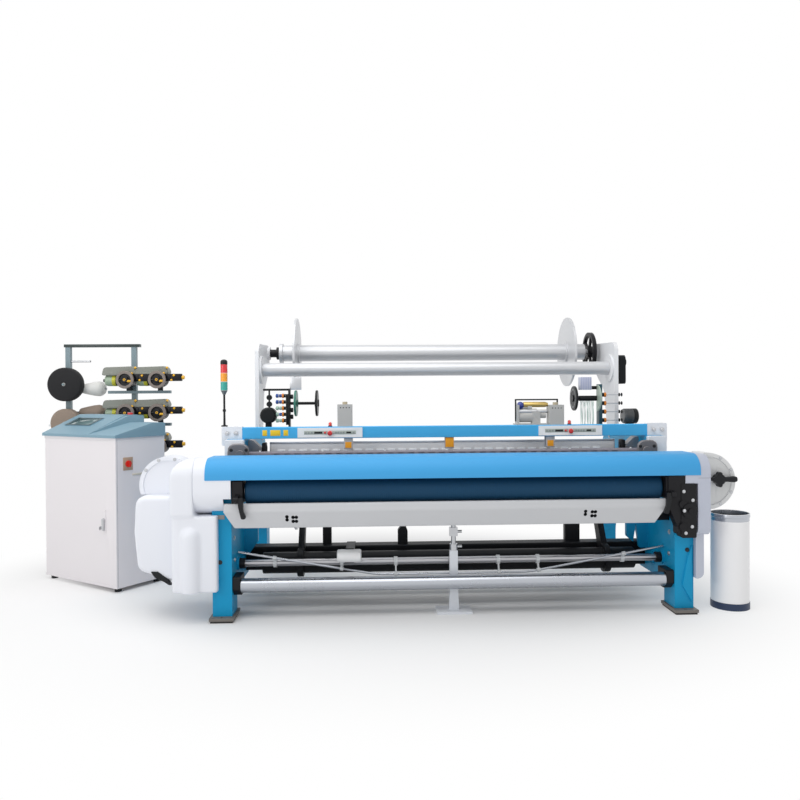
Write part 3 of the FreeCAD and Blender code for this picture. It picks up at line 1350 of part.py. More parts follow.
low_part = console_body(console_low_z, -cabinet_width - console_overhang, console_overhang)
high_part = console_body(console_high_z, -cabinet_width - console_overhang, console_step_x)
fin = prism([(console_step_x - 1, -console_overhang), (console_step_x + 70, cabinet_depth),
             (console_step_x - 1, cabinet_depth)], "z", cabinet_top_z, 400)
fin = fin.common(console_body(console_high_z - 6, console_step_x - 1, console_overhang))
console_run = cabinet_depth * 0.72 + console_overhang
slope = math.degrees(math.atan2(console_high_z - cabinet_top_z - console_lip, console_run))
screen_x = -609.0
screen_y = 177.0
screen_z = cabinet_top_z + console_lip + (screen_y + console_overhang) * math.tan(
    math.radians(slope))
bezel = block(-155, 155, -68, 68, -4, 6)
bezel = bezel.cut(block(-128, 128, -52, 52, 2, 7))
bezel.rotate(V(0, 0, 0), V(1, 0, 0), slope)
bezel.translate(V(screen_x, screen_y, screen_z))
console_stop_x = -335.0
console_stop_y = 385.0
console_stop_radius = 20.0
console_stop_height = 18.0
console_stop = rod(console_stop_x, console_stop_y, console_high_z - 6, console_stop_radius,
                   console_stop_height + 6, "z")
save("cabinet_console", at_cabinet(join([low_part, high_part, fin, bezel, console_stop])))

# ---- Weft creel: stand, yarn packages, six feeders ---------------------
creel_y = 1560.0
creel_left_x = -3040.0
creel_right_x = -2500.0
creel_top_z = 1831.0
tube_width = 40.0
foot_rail_half = 240.0
feeder_rows = [1531.0, 1262.0, 985.0]
feeder_places = [-2522.0, -2265.0]
rail_below = 88.0
feeder_rail_height = 24.0
feeder_rail_left_x = creel_right_x - 200
feeder_rail_length = 510.0
cross_tie_z = 320.0
peg_radius = 8.0
cheese_peg_length = 165.0             # spare pegs on the outside of the left post
cone_peg_length = 310.0
empty_peg_length = 180.0
empty_peg_z = 1690.0
cheeses = [(creel_left_x + 8, 1497.0, 138.0), (creel_left_x + 10, 1180.0, 118.0)]
cones = [(-2948.0, 1461.0), (-2952.0, 1266.0)]
feeder_y = 1480.0
cheese_depth = 90.0
cheese_front_y = 1436.0
half = tube_width / 2
parts = []
for x in (creel_left_x, creel_right_x):
    parts.append(block(x - half, x + half, creel_y - half, creel_y + half, 0, creel_top_z - 10))
    parts.append(block(x - half, x + half, creel_y - foot_rail_half, creel_y + foot_rail_half,
                       0, tube_width))
parts.append(block(creel_left_x - 30, creel_right_x + 50, creel_y - half - 4,
                   creel_y + half + 4, creel_top_z - 24, creel_top_z))
parts.append(block(creel_left_x, creel_right_x, creel_y - 15, creel_y + 15,
                   cross_tie_z - half, cross_tie_z + half))
for z in feeder_rows:
    parts.append(block(feeder_rail_left_x, feeder_rail_left_x + feeder_rail_length,
                       creel_y - half - 40, creel_y - half + 1,
                       z - rail_below - feeder_rail_height, z - rail_below))
for x, z, radius in cheeses:
    parts.append(rod(x, cheese_front_y - 20, z, peg_radius, creel_y - cheese_front_y + 20, "y"))
    parts.append(rod(creel_left_x - cheese_peg_length, creel_y, z - 20, peg_radius,
                     cheese_peg_length, "x"))
for x, z in cones:
    parts.append(rod(creel_left_x, creel_y, z, peg_radius, cone_peg_length, "x"))
parts.append(rod(creel_left_x, creel_y, empty_peg_z, peg_radius, empty_peg_length, "x"))
save("creel_stand", join(parts))


def cheese(x, z, radius):
    """Wound package with a bulging side and the open core on its peg."""
    shape = turned([(0, 0), (0, radius * 0.6), (14, radius * 0.9), (cheese_depth / 2, radius),
                    (cheese_depth - 14, radius * 0.9), (cheese_depth, radius * 0.6),
                    (cheese_depth, 0)], (x, cheese_front_y, z), "y")
    return shape.cut(rod(x, cheese_front_y - 1, z, peg_radius + side_gap,
                         cheese_depth + 2, "y"))


def cone(x, z):
    """Wound cone on a level peg, narrow end first."""
    shape = turned([(0, 0), (0, 24), (12, 34), (160, 62), (206, 36), (206, 0)],
                   (x, creel_y, z), "x")
    return shape.cut(rod(x - 1, creel_y, z, peg_radius + side_gap, 210, "x"))


save("yarn_packages", Part.makeCompound([cheese(*c) for c in cheeses] + [cone(*c) for c in cones]))


drum_radius = 60.0                    # yarn drum of a feeder
winding_ring_radius = 72.0
winding_ring_bore = 50.0
feeder_motor_radius = 46.0
feeder_motor_length = 120.0
feeder_left = 204.0                   # the housing's reach to both sides of the drum
feeder_right = 84.0
feeder_roof = 112.0
yarn_arm_start = 40.0
yarn_arm_length = 150.0


def feeder(x, z):
    """Weft feeder: housing over the drum, winding ring, motor, arm with eyelet, foot."""
    ring_y = feeder_y - 104
    motor_x = x - feeder_left + 18
    arm_x = x + yarn_arm_start
    parts = [
        prism([(x - feeder_left, z + 44, 10), (x - feeder_left + 14, z + feeder_roof - 8, 24),
               (x + 60, z + feeder_roof, 24), (x + feeder_right, z + 60, 14), (x + 60, z + 36),
               (x - feeder_left + 14, z + 36)], "y", feeder_y - 52, 104),
        rod(x, feeder_y - 86, z, drum_radius, 130, "y"),
        rod(motor_x, feeder_y, z - 4, feeder_motor_radius, feeder_motor_length, "x"),
        block(motor_x + feeder_motor_length, x - 40, feeder_y - 40, feeder_y + 40, z - 40, z + 37),
        ring(x, ring_y, z, winding_ring_radius, winding_ring_bore, 18, "y"),
        rod(x, ring_y - 8, z, 26, 30, "y"),
        block(x - drum_radius, x + drum_radius, ring_y + 2, ring_y + 14, z - 7, z + 7),
        block(arm_x, arm_x + yarn_arm_length, feeder_y - 60, feeder_y - 24, z - 12, z + 48),
        rod(arm_x + yarn_arm_length - 4, feeder_y - 42, z + 18, 16, 24, "x"),
        block(x - 30, x + 10, creel_y - half - 34, creel_y - half - 10, z - rail_below, z - 30)]
    return join(parts)


save("weft_feeders", Part.makeCompound([feeder(x, z) for z in feeder_rows
                                        for x in feeder_places]))

# ---- Selvedge waste can beside the right end ---------------------------
can_x = 1806.0
can_y = 62.0
can_radius = 117.0
can_top_gap = 33.0            # the can stands under the right wheel cover
can_height = wheel_cover_z - wheel_cover_radius - can_top_gap
can_wall = 3.0
can_rim_height = 24.0
can_rim_reach = 4.0
can_base_height = 45.0
can = turned([(0, 0), (0, can_radius + 2), (can_base_height, can_radius + 2),
              (can_base_height, can_radius), (can_height - can_rim_height, can_radius),
              (can_height - can_rim_height + 4, can_radius + can_rim_reach),
              (can_height, can_radius + can_rim_reach), (can_height, can_radius - can_wall),
              (can_wall, can_radius - can_wall), (can_wall, 0)], (can_x, can_y, 0), "z")
save("waste_can", can)
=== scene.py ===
import json
import math

import bmesh
import bpy
import numpy as np
from mathutils import Matrix, Vector
from mathutils.bvhtree import BVHTree

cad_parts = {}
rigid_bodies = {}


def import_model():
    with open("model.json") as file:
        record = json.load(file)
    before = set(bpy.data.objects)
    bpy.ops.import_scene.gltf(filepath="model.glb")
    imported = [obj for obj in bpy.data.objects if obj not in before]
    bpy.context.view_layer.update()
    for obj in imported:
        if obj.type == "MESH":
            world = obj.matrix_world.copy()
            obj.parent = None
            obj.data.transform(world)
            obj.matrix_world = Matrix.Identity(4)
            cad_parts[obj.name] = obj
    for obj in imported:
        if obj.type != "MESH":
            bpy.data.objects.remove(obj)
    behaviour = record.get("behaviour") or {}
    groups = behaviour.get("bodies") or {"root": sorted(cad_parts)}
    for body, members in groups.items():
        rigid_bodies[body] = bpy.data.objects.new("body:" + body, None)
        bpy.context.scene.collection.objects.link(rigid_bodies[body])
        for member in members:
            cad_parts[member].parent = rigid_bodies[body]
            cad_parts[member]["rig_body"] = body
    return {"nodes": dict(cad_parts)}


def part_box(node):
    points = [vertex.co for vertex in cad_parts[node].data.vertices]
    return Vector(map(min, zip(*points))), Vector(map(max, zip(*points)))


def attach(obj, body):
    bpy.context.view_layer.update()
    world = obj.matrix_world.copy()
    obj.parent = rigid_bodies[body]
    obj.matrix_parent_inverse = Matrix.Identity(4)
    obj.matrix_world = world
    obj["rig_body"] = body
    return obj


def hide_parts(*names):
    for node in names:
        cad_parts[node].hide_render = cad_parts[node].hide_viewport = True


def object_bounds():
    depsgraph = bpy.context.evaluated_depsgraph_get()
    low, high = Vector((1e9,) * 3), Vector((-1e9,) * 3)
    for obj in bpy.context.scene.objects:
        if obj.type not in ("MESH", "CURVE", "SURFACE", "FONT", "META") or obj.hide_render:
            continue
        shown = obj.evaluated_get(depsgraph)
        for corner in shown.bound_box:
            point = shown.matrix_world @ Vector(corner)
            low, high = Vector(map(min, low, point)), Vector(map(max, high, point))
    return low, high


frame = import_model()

cad_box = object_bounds()

# ---- Side frames -------------------------------------------------------
# Thick cut steel plates under a smooth sprayed enamel, which has a slightly uneven
# tone and gloss. Its shader group is built here first.


def feed(node, inputs):
    """Each socket, by name or number, takes a plain value or another node's output."""
    for socket, value in inputs.items():
        if isinstance(value, bpy.types.NodeSocket):
            node.id_data.links.new(value, node.inputs[socket])
        else:
            node.inputs[socket].default_value = value


def add_node(tree, kind, inputs, **settings):
    """New shader node with its settings made and its sockets fed."""
    node = tree.nodes.new("ShaderNode" + kind)
    for name, value in settings.items():
        setattr(node, name, value)
    feed(node, inputs)
    return node


def add_math(tree, operation, *values):
    """Output of one sum over plain values and other nodes' outputs."""
    return add_node(tree, "Math", dict(enumerate(values)), operation=operation).outputs[0]


def object_place(tree):
    """Output of a point's place on the object, in metres."""
    return add_node(tree, "TexCoord", {}).outputs["Object"]


def new_group(name, inputs, outputs):
    """Empty shader group. An input with four parts is a colour, the others are numbers."""
    group = bpy.data.node_groups.new(name, "ShaderNodeTree")
    for socket_name, value in inputs.items():
        kind = "NodeSocketColor" if isinstance(value, tuple) else "NodeSocketFloat"
        socket = group.interface.new_socket(name=socket_name, in_out="INPUT", socket_type=kind)
        socket.default_value = value
    for socket_name, kind in outputs.items():
        group.interface.new_socket(name=socket_name, in_out="OUTPUT",
                                   socket_type="NodeSocket" + kind)
    return group


def surface_group():
    """Uneven tone and gloss: colour and gloss follow one noise, the relief a finer one."""
    group = new_group("Uneven surface",
                      {"Colour": (0.5, 0.5, 0.5, 1), "Tone": 0.06, "Gloss": 0.4,
                       "Gloss change": 0.1, "Size": 3.0, "Grain": 220.0},
                      {"Colour": "Color", "Roughness": "Float", "Height": "Float"})
    given = group.nodes.new("NodeGroupInput").outputs
    place = object_place(group)
    broad = add_node(group, "TexNoise", {"Vector": place, "Scale": given["Size"], "Detail": 5.0})
    fine = add_node(group, "TexNoise", {"Vector": place, "Scale": given["Grain"], "Detail": 2.0})
    centred = add_math(group, "SUBTRACT", broad.outputs["Fac"], 0.5)
    tone = add_math(group, "MULTIPLY_ADD", centred, given["Tone"], 1.0)
    shade = add_node(group, "VectorMath", {0: given["Colour"], "Scale": tone}, operation="SCALE")
    gloss = add_math(group, "MULTIPLY_ADD", centred, given["Gloss change"], given["Gloss"])
    feed(group.nodes.new("NodeGroupOutput"),
         {"Colour": shade.outputs[0], "Roughness": gloss, "Height": fine.outputs["Fac"]})
    return group


uneven_surface = surface_group()


def new_material(name):
    """Material with its Principled shader."""
    material = bpy.data.materials.new(name)
    material.use_nodes = True
    return material, material.node_tree.nodes["Principled BSDF"]


def raised(tree, height, strength):
    """Normal output of a relief one millimetre deep."""
    return add_node(tree, "Bump", {"Strength": strength, "Distance": 0.001,
                                   "Height": height}).outputs["Normal"]


def finish(name, colour, roughness, metal=0.0, tone=0.08, size=3.0, grain=220.0, relief=0.0,
           coat=0.0, shine=0.5):
    """Material of one finish: the uneven surface group into a Principled shader."""
    material, shader = new_material(name)
    surface = add_node(material.node_tree, "Group",
                       {"Colour": (*colour, 1), "Tone": tone, "Gloss": roughness,
                        "Gloss change": 0.3 * roughness, "Size": size, "Grain": grain},
                       node_tree=uneven_surface).outputs
    feed(shader, {"Metallic": metal, "Specular IOR Level": shine, "Coat Weight": coat,
                  "Coat Roughness": 0.12, "Base Color": surface["Colour"],
                  "Roughness": surface["Roughness"]})
    if relief:
        feed(shader, {"Normal": raised(material.node_tree, surface["Height"], relief)})
    return material


def dress(node, material):
    """A CAD node shown as it is takes its finish."""
    mesh = frame["nodes"][node].data
    mesh.materials.clear()
    mesh.materials.append(material)


smooth_limit, flat_limit = math.radians(32), math.radians(0.4)


def stand(name, mesh, material, body):
    """A mesh becomes a visible piece, smooth but for its sharp edges, and rides on its body."""
    mesh.materials.append(material)
    mesh.shade_smooth()
    mesh.set_sharp_from_angle(angle=smooth_limit)
    piece = bpy.data.objects.new(name, mesh)
    bpy.context.scene.collection.objects.link(piece)
    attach(piece, body)
    return piece


def soften(node, material, width=0.0015, steps=2):
    """A copy of the node with its doubles merged and its sharp edges rounded stands for it."""
    dress(node, material)
    source = frame["nodes"][node]
    mesh = bpy.data.meshes.new(node + "_shown")
    work = bmesh.new()
    work.from_mesh(source.data)
    bmesh.ops.remove_doubles(work, verts=work.verts, dist=0.00002)
    bmesh.ops.dissolve_limit(work, angle_limit=flat_limit, verts=work.verts, edges=work.edges)
    work.to_mesh(mesh)
    work.free()
    piece = stand(node + "_shown", mesh, material, source["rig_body"])
    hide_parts(node)
    if width:
        bevel = piece.modifiers.new("Rounded edges", "BEVEL")
        bevel.width = width
        bevel.segments = steps
        bevel.limit_method = "ANGLE"
        bevel.angle_limit = smooth_limit
        bevel.harden_normals = True
        bevel.use_clamp_overlap = True
    return piece


frame_blue = finish("Frame enamel", (0.003, 0.30, 0.56), 0.42, tone=0.14, relief=0.03,
                    shine=0.25)
soften("left_side_frame", frame_blue, 0.0012)
soften("right_side_frame", frame_blue, 0.0012)

# ---- Frame bolts ---------------------------------------------------------
# Zinc plated hexagon screws on the inner faces of the frames. Most parts of a
# loom are turned on a lathe like their washers, so that shape comes first.


def ring_faces(rows, columns):
    """Quads between the rows of a grid whose last column meets its first again."""
    index = np.arange(rows * columns).reshape(rows, columns)
    after = np.roll(index, -1, axis=1)
    return np.stack([index[:-1], after[:-1], after[1:], index[1:]], -1).reshape(-1, 4)


def turned_shape(start, axis, profile, turns=48):
    """Lathe form: ring k lies profile[k][0] along the axis with radius profile[k][1]."""
    along, radius = np.array(profile, float).T
    angle = np.linspace(0, 2 * np.pi, turns, endpoint=False)
    ring = np.stack([np.cos(angle), np.sin(angle)], -1)
    cross = radius[:, None, None] * ring[None]
    points = np.zeros((len(along), turns, 3))
    order = {"x": (0, 1, 2), "y": (1, 2, 0), "z": (2, 0, 1)}[axis]
    points[..., order[0]] = along[:, None]
    points[..., order[1]] = cross[..., 0]
    points[..., order[2]] = cross[..., 1]
    points += np.array(start, float)
    return points.reshape(-1, 3), ring_faces(len(along), turns)[:, ::-1]


def plain_profile(start, end, radius):
    """Profile of a plain cylinder with closed ends."""
    return [(start, 0), (start, radius), (end, radius), (end, 0)]


def piece_of(name, shapes, body, material, replaces=()):
    """One visible piece from several shapes of the same finish on the same body."""
    points, faces, count = [], [], 0
    for shape_points, shape_faces in shapes:
        points.append(shape_points)
        faces.append(shape_faces + count)
        count += len(shape_points)
    mesh = bpy.data.meshes.new(name)
    mesh.from_pydata(np.concatenate(points).tolist(), [], np.concatenate(faces).tolist())
    work = bmesh.new()
    work.from_mesh(mesh)
    bmesh.ops.remove_doubles(work, verts=work.verts, dist=0.000002)
    bmesh.ops.recalc_face_normals(work, faces=work.faces)
    work.to_mesh(mesh)
    work.free()
    piece = stand(name, mesh, material, body)
    if replaces:
        for node in replaces:
            dress(node, material)
        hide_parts(*replaces)
    return piece


def screw_shapes(x, y, z, axis, way, radius=0.011, height=0.007):
    """Hexagon head with a turned washer, standing out of a face along an axis."""
    washer = turned_shape((x, y, z), axis, plain_profile(0, way * 0.002, radius * 1.4), 32)
    head = turned_shape((x, y, z), axis, [(0, 0), (0, radius), (way * height * 0.85, radius),
                                          (way * height, radius * 0.85), (way * height, 0)], 6)
    return [washer, head]


plated = finish("Zinc plate", (0.52, 0.53, 0.55), 0.32, metal=1.0, tone=0.2, grain=400.0)
bolt_seat = 1.390
bolt_places = ((-0.02, 0.90), (0.08, 0.90), (0.02, 0.50), (0.03, 0.36), (0.03, 0.24), (1.50, 0.90),
               (1.50, 0.36), (0.62, 1.05), (1.20, 1.05), (0.62, 0.55), (1.20, 0.55))
bolt_heads = []
for side in (-1, 1):
    for y, z in bolt_places:
        bolt_heads += screw_shapes(side * bolt_seat, y, z, "x", -side)
piece_of("frame_bolts", bolt_heads, "loom", plated)

# ---- Cross beam and its brackets ---------------------------------------
# Box section steel, welded shut and painted light blue. A cast white bracket
# bolts each end to the frame. Three plain yellow fields are at its left end,
# and three bent straps under it carry plain orange patches.


def block_shape(low, high, radius=0.001, steps=2):
    """Rounded box: a ball's points, with each eighth of it pushed out to its own corner."""
    low, high = np.array(low, float), np.array(high, float)
    radius = min(radius, 0.499 * (high - low).min())
    quarter = np.linspace(0, np.pi / 2, steps + 1)
    turn = np.concatenate([quarter + k * np.pi / 2 for k in range(4)])
    tilt = np.concatenate([quarter - np.pi / 2, quarter])
    turn_sign = np.array([[1, 1], [-1, 1], [-1, -1], [1, -1]]).repeat(steps + 1, axis=0)
    tilt_sign = np.array([-1, 1]).repeat(steps + 1)
    ball = np.stack([np.cos(tilt)[:, None] * np.cos(turn)[None],
                     np.cos(tilt)[:, None] * np.sin(turn)[None],
                     np.sin(tilt)[:, None] * np.ones_like(turn)[None]], -1)
    side = np.zeros_like(ball)
    side[..., 0] = turn_sign[:, 0]
    side[..., 1] = turn_sign[:, 1]
    side[..., 2] = tilt_sign[:, None]
    points = (low + high) / 2 + side * ((high - low) / 2 - radius) + ball * radius
    rows, columns = ball.shape[:2]
    ends = np.arange(4) * (steps + 1)
    caps = np.stack([ends[::-1], (rows - 1) * columns + ends])
    return points.reshape(-1, 3), np.concatenate([ring_faces(rows, columns), caps])


# The beam has the same light blue enamel as the long cover. Here it is mixed lighter as painted
# light, because the lamps leave the beam's upright front in shade.
beam_blue_painted_lit = finish("Beam enamel painted lit", (0.062, 0.43, 0.80), 0.50, tone=0.05, shine=0.3)
white_paint = finish("White paint", (0.80, 0.82, 0.86), 0.38, tone=0.05)
soften("top_beam", beam_blue_painted_lit, 0.003)
soften("beam_brackets", white_paint, 0.002)
beam_front, beam_middle = 0.440, 1.137
bracket_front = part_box("beam_brackets")[0].y
bolt_heads = []
for side in (-1, 1):
    for x in (1.452, 1.511):
        bolt_heads += screw_shapes(side * x, bracket_front, beam_middle, "y", -1, 0.011, 0.008)
piece_of("beam_bolts", bolt_heads, "loom", plated)
label_yellow = finish("Yellow print", (0.85, 0.58, 0.02), 0.45, tone=0.03)
field_reach = 0.020
fields = [block_shape((low, beam_front - 0.0008, beam_middle - field_reach),
                      (high, beam_front + 0.001, beam_middle + field_reach), 0.0006)
          for low, high in ((-1.272, -1.240), (-1.218, -1.149), (-1.128, -1.096))]
piece_of("beam_label_fields", fields, "loom", label_yellow)
strap_grey = finish("Strap paint", (0.50, 0.50, 0.52), 0.45, tone=0.05)
label_orange = finish("Orange print", (0.96, 0.40, 0.015), 0.45, tone=0.03)
strap_half, strap_gauge, strap_edge = 0.030, 0.006, 0.0008
strap_front, strap_rear = 0.452, 0.508
strap_bottom, strap_front_top, strap_rear_top = 1.018, 1.0965, 1.160
straps, patches, strap_bolts = [], [], []
for x, patch_half, patch_top in ((-0.683, 0.022, 1.070), (0.020, 0.0295, 1.095),
                                 (0.728, 0.022, 1.070)):
    for y0, y1, top in ((strap_rear - strap_gauge, strap_rear, strap_rear_top),
                        (strap_front, strap_rear, strap_bottom + strap_gauge),
                        (strap_front, strap_front + strap_gauge, strap_front_top)):
        straps.append(block_shape((x - strap_half, y0, strap_bottom), (x + strap_half, y1, top),
                                  strap_edge))
    patches.append(block_shape((x - patch_half, strap_front - 0.0008, strap_bottom + 0.010),
                               (x + patch_half, strap_front + 0.0002, patch_top), 0.0004))
    for way in (-1, 1):
        strap_bolts += screw_shapes(x + way * 0.020, strap_rear, 1.145, "y", 1, 0.005, 0.004)
piece_of("beam_straps", straps, "loom", strap_grey)
piece_of("strap_patches", patches, "loom", label_orange)
piece_of("strap_bolts", strap_bolts, "loom", plated)

# ---- Castings on the frame heads ------------------------------------------
# Under each end of the beam a white plate covers the frame's head, with the
# grey casting of the rapier drive and its black bolts in front of it.


def rounded_outline(corners, radius, steps=4):
    """Closed outline: each corner is a quadratic curve between points a radius away from it."""
    corners = np.array(corners, float)
    ends = []
    for other in (np.roll(corners, 1, axis=0), np.roll(corners, -1, axis=0)):
        edge = other - corners
        share = np.minimum(radius / np.linalg.norm(edge, axis=1, keepdims=True), 0.45)
        ends.append((corners + edge * share)[:, None])
    t = np.linspace(0, 1, steps + 1)[None, :, None]
    return ((1 - t) ** 2 * ends[0] + 2 * t * (1 - t) * corners[:, None]
            + t ** 2 * ends[1]).reshape(-1, 2)


def slab_shape(corners, radius, low, high, edge=0.003):
    """Slab of a rounded outline in x and z, from y low to y high, its face edges broken."""
    outline = rounded_outline(corners, radius)
    middle = outline.mean(0)
    span = outline - middle
    away = np.linalg.norm(span, axis=1, keepdims=True)
    rows = []
    for y, inset, reach in ((low, edge, 0), (low, edge, 1), (low + edge, 0, 1),
                            (high - edge, 0, 1), (high, edge, 1), (high, edge, 0)):
        flat = middle + reach * span * (1 - inset / away)
        rows.append(np.stack([flat[:, 0], np.full(len(flat), y), flat[:, 1]], -1))
    return np.concatenate(rows), ring_faces(len(rows), len(outline))


def plate_shape(side, inner, outer, low, high, radius, front, rear, edge):
    """Upright plate on one side of the loom, between two distances from its middle."""
    x0, x1 = sorted((side * inner, side * outer))
    return slab_shape([(x0, low), (x0, high), (x1, high), (x1, low)], radius, front, rear, edge)


casting_grey = finish("Grey casting", (0.16, 0.155, 0.165), 0.42, metal=0.4, tone=0.25,
                      relief=0.1)
casting_front, hub_z, hub_radius = 0.326, 1.000, 0.029
head_plates, castings, casting_bolts = [], [], []
for side, inner, outer in ((-1, 1.346, 1.490), (1, 1.300, 1.440)):
    head_plates.append(plate_shape(side, 1.3865, 1.5135, low=0.912, high=1.0965, radius=0.012,
                                   front=0.354, rear=0.402, edge=0.003))
    castings.append(plate_shape(side, inner, outer, low=0.905, high=1.072, radius=0.055,
                                front=casting_front, rear=0.356, edge=0.008))
    castings.append(turned_shape((side * (inner + 0.060), casting_front, hub_z), "y",
                                 [(-0.012, 0), (-0.012, hub_radius - 0.003),
                                  (-0.009, hub_radius), (0.002, hub_radius), (0.002, 0)], 40))
    for x, z in ((inner + 0.018, 1.030), (inner + 0.018, 0.975), (outer - 0.026, 1.030)):
        casting_bolts += screw_shapes(side * x, casting_front, z, "y", -1, 0.008, 0.006)
piece_of("head_plates", head_plates, "loom", white_paint)
piece_of("drive_castings", castings, "loom", casting_grey)
key_black = finish("Black key", (0.012, 0.013, 0.015), 0.35, shine=0.3)
piece_of("casting_bolts", casting_bolts, "loom", key_black)

# ---- Signal panels ------------------------------------------------------
# White enamelled plates on the beam, each with a grey printed strip, a dark
# display, a small red lamp and keys in it, and one red lamp on the beam.

panel_white = finish("Panel enamel", (0.86, 0.88, 0.90), 0.30, tone=0.03)
strip_grey = finish("Grey green print", (0.42, 0.47, 0.43), 0.42, tone=0.05)
key_grey = finish("Grey key", (0.28, 0.30, 0.30), 0.40, tone=0.05)
lamp_red = finish("Red lamp glass", (0.70, 0.015, 0.012), 0.16, coat=0.6)
soften("signal_panels", panel_white)
panel_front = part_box("signal_panels")[0].y
strip_half, display_half, key_half = 0.012, 0.007, 0.006
key_reach, key_places = 0.0065, (-0.165, -0.145, -0.125, 0.040, 0.058, 0.076, 0.094, 0.162)
beam_lamp_y, beam_lamp_z, socket_height = 0.462, 1.176, 0.0075


def on_panel(x0, x1, half_height, proud, edge, sunk=0.0):
    """Block on the panels' front, centred on the beam's height."""
    return block_shape((x0, panel_front - proud, beam_middle - half_height),
                       (x1, panel_front + sunk, beam_middle + half_height), edge)


greys, blacks, strips, lamps = [], [], [], []
for middle in (-0.808, 0.864):
    for way in (-1, 1):
        x0, x1 = sorted((middle + way * 0.0175, middle + way * 0.178))
        strips.append(on_panel(x0, x1, strip_half, proud=0.0012, edge=0.0006, sunk=0.002))
    blacks += [on_panel(middle - 0.108, middle - 0.052, display_half, proud=0.0030, edge=0.001),
               on_panel(middle + 0.112, middle + 0.146, key_half, proud=0.0030, edge=0.001)]
    for key in key_places:
        greys.append(on_panel(middle + key - key_reach, middle + key + key_reach, key_half,
                              proud=0.0028, edge=0.0012))
    lamps.append(turned_shape((middle - 0.034, panel_front, beam_middle), "y",
                              [(0, 0), (0, 0.0078), (-0.004, 0.0078), (-0.0065, 0.005),
                               (-0.0070, 0)], 20))
    blacks.append(turned_shape((middle, beam_lamp_y, beam_lamp_z), "z",
                               [(0, 0), (0, 0.0145), (0.006, 0.0145), (socket_height, 0.013),
                                (socket_height, 0)], 24))
    lamps.append(turned_shape((middle, beam_lamp_y, beam_lamp_z + socket_height - 0.0005), "z",
                              [(0, 0), (0, 0.0115), (0.016, 0.0115), (0.021, 0.0095),
                               (0.0245, 0.005), (0.025, 0)], 24))
piece_of("panel_strips", strips, "loom", strip_grey)
piece_of("panel_grey_keys", greys, "loom", key_grey)
piece_of("panel_displays", blacks, "loom", key_black)
piece_of("panel_lamps", lamps, "loom", lamp_red)

# ---- Covers over the cloth path -----------------------------------------
# Folded sheet steel. The long blue one wraps the front top edge, the white
# collar takes in the roller's left end, and the grey panel hangs below.

cover_blue = finish("Light blue enamel", (0.055, 0.35, 0.70), 0.50, tone=0.05, shine=0.3)
cover_white = finish("White enamel", (0.79, 0.81, 0.865), 0.40, tone=0.04)
panel_grey = finish("Grey enamel", (0.56, 0.57, 0.59), 0.36, tone=0.06, coat=0.15)
soften("breast_cover", cover_blue, 0.0012)
soften("left_roller_cover", cover_white)
soften("breast_panel", panel_grey, 0.0012)

# ---- Take-up roller -----------------------------------------------------
# Steel tube with a dark teal rubber sleeve, which is cut with shallow
# grooves round it, so that the cloth doesn't slip. Its ends are bare steel.

teal_rubber = finish("Teal rubber", (0.003, 0.045, 0.105), 0.62, tone=0.12, size=6, grain=500.0,
                     relief=0.10, shine=0.25)
ground_metal = finish("Ground steel", (0.44, 0.44, 0.46), 0.30, metal=1.0, tone=0.08)
cast_black = finish("Black casting", (0.008, 0.008, 0.010), 0.42, tone=0.2, relief=0.18,
                    shine=0.22)
take_low, take_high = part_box("takeup_roller")
take_axis = (0, -0.015, 0.800)
take_radius = (take_high.z - take_low.z) / 2
sleeve_end, sleeve_chamfer = 1.302, 0.008
groove_pitch, groove_depth, steps_a_groove = 0.0125, 0.0011, 4
groove_steps = steps_a_groove * int(2 * (sleeve_end - 0.02) / groove_pitch)
groove_run = sleeve_end - 0.012
along = np.linspace(-groove_run, groove_run, groove_steps + 1)
wave = np.abs(np.sin(np.pi * np.arange(groove_steps + 1) / steps_a_groove))
foot_radius, edge_radius = take_radius - sleeve_chamfer, take_radius - 0.0012
sleeve_profile = ([(-sleeve_end, 0), (-sleeve_end, foot_radius),
                   (-sleeve_end + sleeve_chamfer, edge_radius)]
                  + [(x, take_radius - groove_depth * (1 - w)) for x, w in zip(along, wave)]
                  + [(sleeve_end - sleeve_chamfer, edge_radius), (sleeve_end, foot_radius),
                     (sleeve_end, 0)])
sleeve = turned_shape(take_axis, "x", sleeve_profile, 72)
piece_of("roller_sleeve", [sleeve], "takeup", teal_rubber, ["takeup_roller"])
shaft_radius, shaft_edge, plug_radius = 0.024, 0.0015, 0.052
ends = []
for side, reach in ((-1, take_low.x), (1, take_high.x)):
    plug_in, plug_out = side * (sleeve_end - 0.004), side * (sleeve_end + 0.008)
    ends.append(turned_shape(take_axis, "x",
                             [(plug_in, 0), (plug_in, plug_radius),
                              (side * (sleeve_end + 0.006), plug_radius),
                              (plug_out, plug_radius - 0.002), (plug_out, shaft_radius),
                              (reach - side * shaft_edge, shaft_radius),
                              (reach, shaft_radius - shaft_edge), (reach, 0)], 40))
piece_of("roller_ends", ends, "takeup", ground_metal)
soften("takeup_left_bearing", cast_black, 0.003)
soften("takeup_gearbox", cast_black, 0.003)
gearbox = frame["nodes"]["takeup_gearbox"]
front_faces = BVHTree.FromPolygons([gearbox.matrix_world @ v.co for v in gearbox.data.vertices],
                                   [list(p.vertices) for p in gearbox.data.polygons])
gearbox_screws = []
for x, z in ((1.415, 0.662), (1.475, 0.725), (1.418, 0.780), (1.470, 0.560), (1.430, 0.520)):
    spot = front_faces.ray_cast(Vector((x, -1, z)), Vector((0, 1, 0)))[0]
    if spot:
        gearbox_screws += screw_shapes(x, spot.y, z, "y", -1, 0.0075, 0.006)
piece_of("gearbox_screws", gearbox_screws, "loom", plated)
black_plastic = finish("Black plastic", (0.009, 0.010, 0.012), 0.34, tone=0.08, shine=0.25)
soften("right_release_lever", black_plastic, 0.002)
soften("left_release_lever", black_plastic, 0.002)

# ---- Breast beam and stand ----------------------------------------------
# Dark girder between the frames with the white centre stand under it, which
# carries a plated adjuster and holds the long rollers apart.

